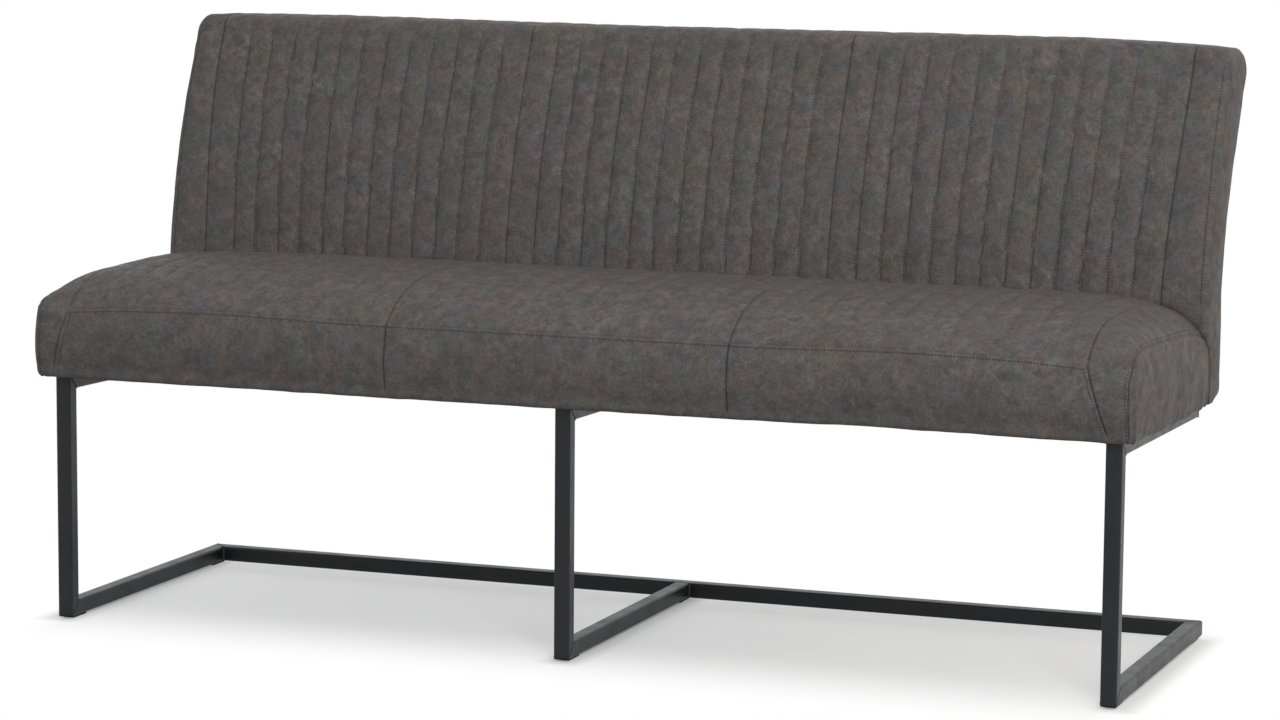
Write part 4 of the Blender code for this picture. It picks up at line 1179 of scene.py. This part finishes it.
finishes = {slot: plainFinish(slot, *look) for slot, look in plainLooks.items()}
finishes["grey_leather"] = leatherFinish()
finishes["black_steel"] = steelFinish("black_steel", *steelLook["paint"])
for row in frame["record"]["subparts"]:
    node = frame["nodes"][row["node"]]
    node.data.materials.clear()
    node.data.materials.append(finishes[row["material_slot"]])
print("finishes set on", len(frame["nodes"]), "nodes")

thread = threadFinish()
seatCushion = buildSeat(finishes["grey_leather"])
backCushion = buildBack(finishes["grey_leather"])
buildDustCover(finishes["dust_cloth"])
buildWelds(steelFinish("weld_steel", *steelLook["bead"]))
stitchPiece("seat_stitches", seatCushion, seatPaths(), thread)
stitchPiece("back_stitches", backCushion, backPaths(), thread)

# camera, fitted to the steel frame in the photograph
cameraLook = {
    "place": (2.1058, sofa["postFace"] - 5.2806, 1.2112),
    "yaw": math.radians(20.608), "pitch": math.radians(7.659), "roll": math.radians(0.456),
    "lens": 111.42, "sensor": 36.0, "farthest": 200.0,
}


def addCamera():
    data = bpy.data.cameras.new("camera")
    data.lens, data.sensor_width = cameraLook["lens"], cameraLook["sensor"]
    data.clip_end = cameraLook["farthest"]
    camera = bpy.data.objects.new("camera", data)
    turn = Matrix.Rotation(cameraLook["yaw"], 4, "Z")
    turn = turn @ Matrix.Rotation(math.pi / 2 - cameraLook["pitch"], 4, "X")
    turn = turn @ Matrix.Rotation(cameraLook["roll"], 4, "Z")
    camera.matrix_world = Matrix.Translation(cameraLook["place"]) @ turn
    bpy.context.scene.collection.objects.link(camera)
    bpy.context.scene.camera = camera


# lamps: name, place, what it points at, width, depth, watts, colour
lamps = (
    ("top_lamp", (0.2, -0.3, 3.4), (0.0, 0.0, 0.3), 4.2, 3.2, 6.0, (1.0, 0.93, 0.84)),
    ("right_lamp", (4.4, -0.4, 1.9), (0.3, 0.0, 0.5), 2.2, 2.2, 40.0, (1.0, 0.88, 0.74)),
    ("front_lamp", (2.5, -5.0, 3.4), (0.1, 0.0, 0.6), 2.6, 2.2, 178.0, (0.95, 0.98, 1.0)),
    ("rear_lamp", (-3.0, 4.8, 1.5), (0.0, 0.2, 0.6), 2.4, 2.0, 110.0, (1.0, 0.98, 0.95)),
)


def addLamps():
    for name, place, aim, width, depth, watts, colour in lamps:
        data = bpy.data.lights.new(name, "AREA")
        data.shape, data.size, data.size_y, data.energy, data.color = "RECTANGLE", width, depth, watts, colour
        lamp = bpy.data.objects.new(name, data)
        lamp.location = place
        lamp.visible_glossy = name != "rear_lamp"     # the rear fill leaves no glints on the frame
        lamp.rotation_mode = "QUATERNION"
        lamp.rotation_quaternion = (Vector(aim) - Vector(place)).to_track_quat("-Z", "Y")
        bpy.context.scene.collection.objects.link(lamp)


surround = {
    "light": 0.54, "white": 1.0, "floorSize": 90.0,
    "pale": 0.82, "bounce": 0.30,     # floor as seen, and as it lights the sofa from below
    "shadowSide": (0.795, 0.86),      # the shadow is kept between the runners
    "shadowFront": (-0.13, -0.46),    # and fades out towards the front and the rear
    "shadowRear": (0.15, 0.33),
    "shadowLift": 0.36,               # floor's own glow inside the shadow
    "runnerX": 0.830,
    "contactShadow": (0.008, 0.045),        # painted contact shadow: darker close beside the runners
    "contactShadowShare": 0.62,
    "contactShadowFront": (-0.305, -0.335), "contactShadowRear": (0.20, 0.27),
}


def addWorld():
    world = bpy.data.worlds.new("surround")
    bpy.context.scene.world = world
    f = Finish(world, Color=(1, 1, 1, 1))
    level = f.add("ShaderNodeMix", {}, {0: f.seenRays(), 2: surround["light"], 3: surround["white"]})
    f.surface(Strength=level)


def addFloor():
    # pale floor that keeps the shadow near the sofa and is plain white further off
    bm = bmesh.new()
    bmesh.ops.create_grid(bm, x_segments=1, y_segments=1, size=surround["floorSize"] / 2)
    mesh = meshFrom("floor", bm)
    floor = bpy.data.objects.new("floor", mesh)
    bpy.context.scene.collection.objects.link(floor)
    f = Finish(bpy.data.materials.new("pale_floor"), Roughness=0.9, Specular_IOR_Level=0.0)
    across, along = [f.add("ShaderNodeSeparateXYZ", {}, {0: f.objectPlace()}, axis) for axis in (0, 1)]
    across = abs(across)
    shadow = f.within((across, surround["shadowSide"]), (along, surround["shadowFront"]),
                      (along, surround["shadowRear"]))
    beside = abs(across - surround["runnerX"]).smaller(across)
    # painted contact shadow: less glow close beside the runners, so the floor's own shading, partly real shadow,
    # shows darker there
    contactShadow = f.within((beside, surround["contactShadow"]), (along, surround["contactShadowFront"]),
                       (along, surround["contactShadowRear"]))
    share = (1 - shadow * (1 - surround["shadowLift"])) * (1 - contactShadow * surround["contactShadowShare"])
    glow = f.add("ShaderNodeEmission", {}, {"Color": (1, 1, 1, 1), "Strength": surround["white"]})
    seen = f.seenRays()
    f.surface(Base_Color=seen * (surround["pale"] - surround["bounce"]) + surround["bounce"])
    mixed = f.add("ShaderNodeMixShader", {}, {0: share * seen, 1: Wire(f, f.shader.outputs[0]), 2: glow})
    f.feed(f.tree.nodes["Material Output"].inputs["Surface"], mixed)
    mesh.materials.append(f.owner)


addCamera()
addLamps()
addWorld()
addFloor()
bpy.context.scene.view_settings.view_transform = "Standard"
print("camera,", len(lamps), "lamps and floor set")
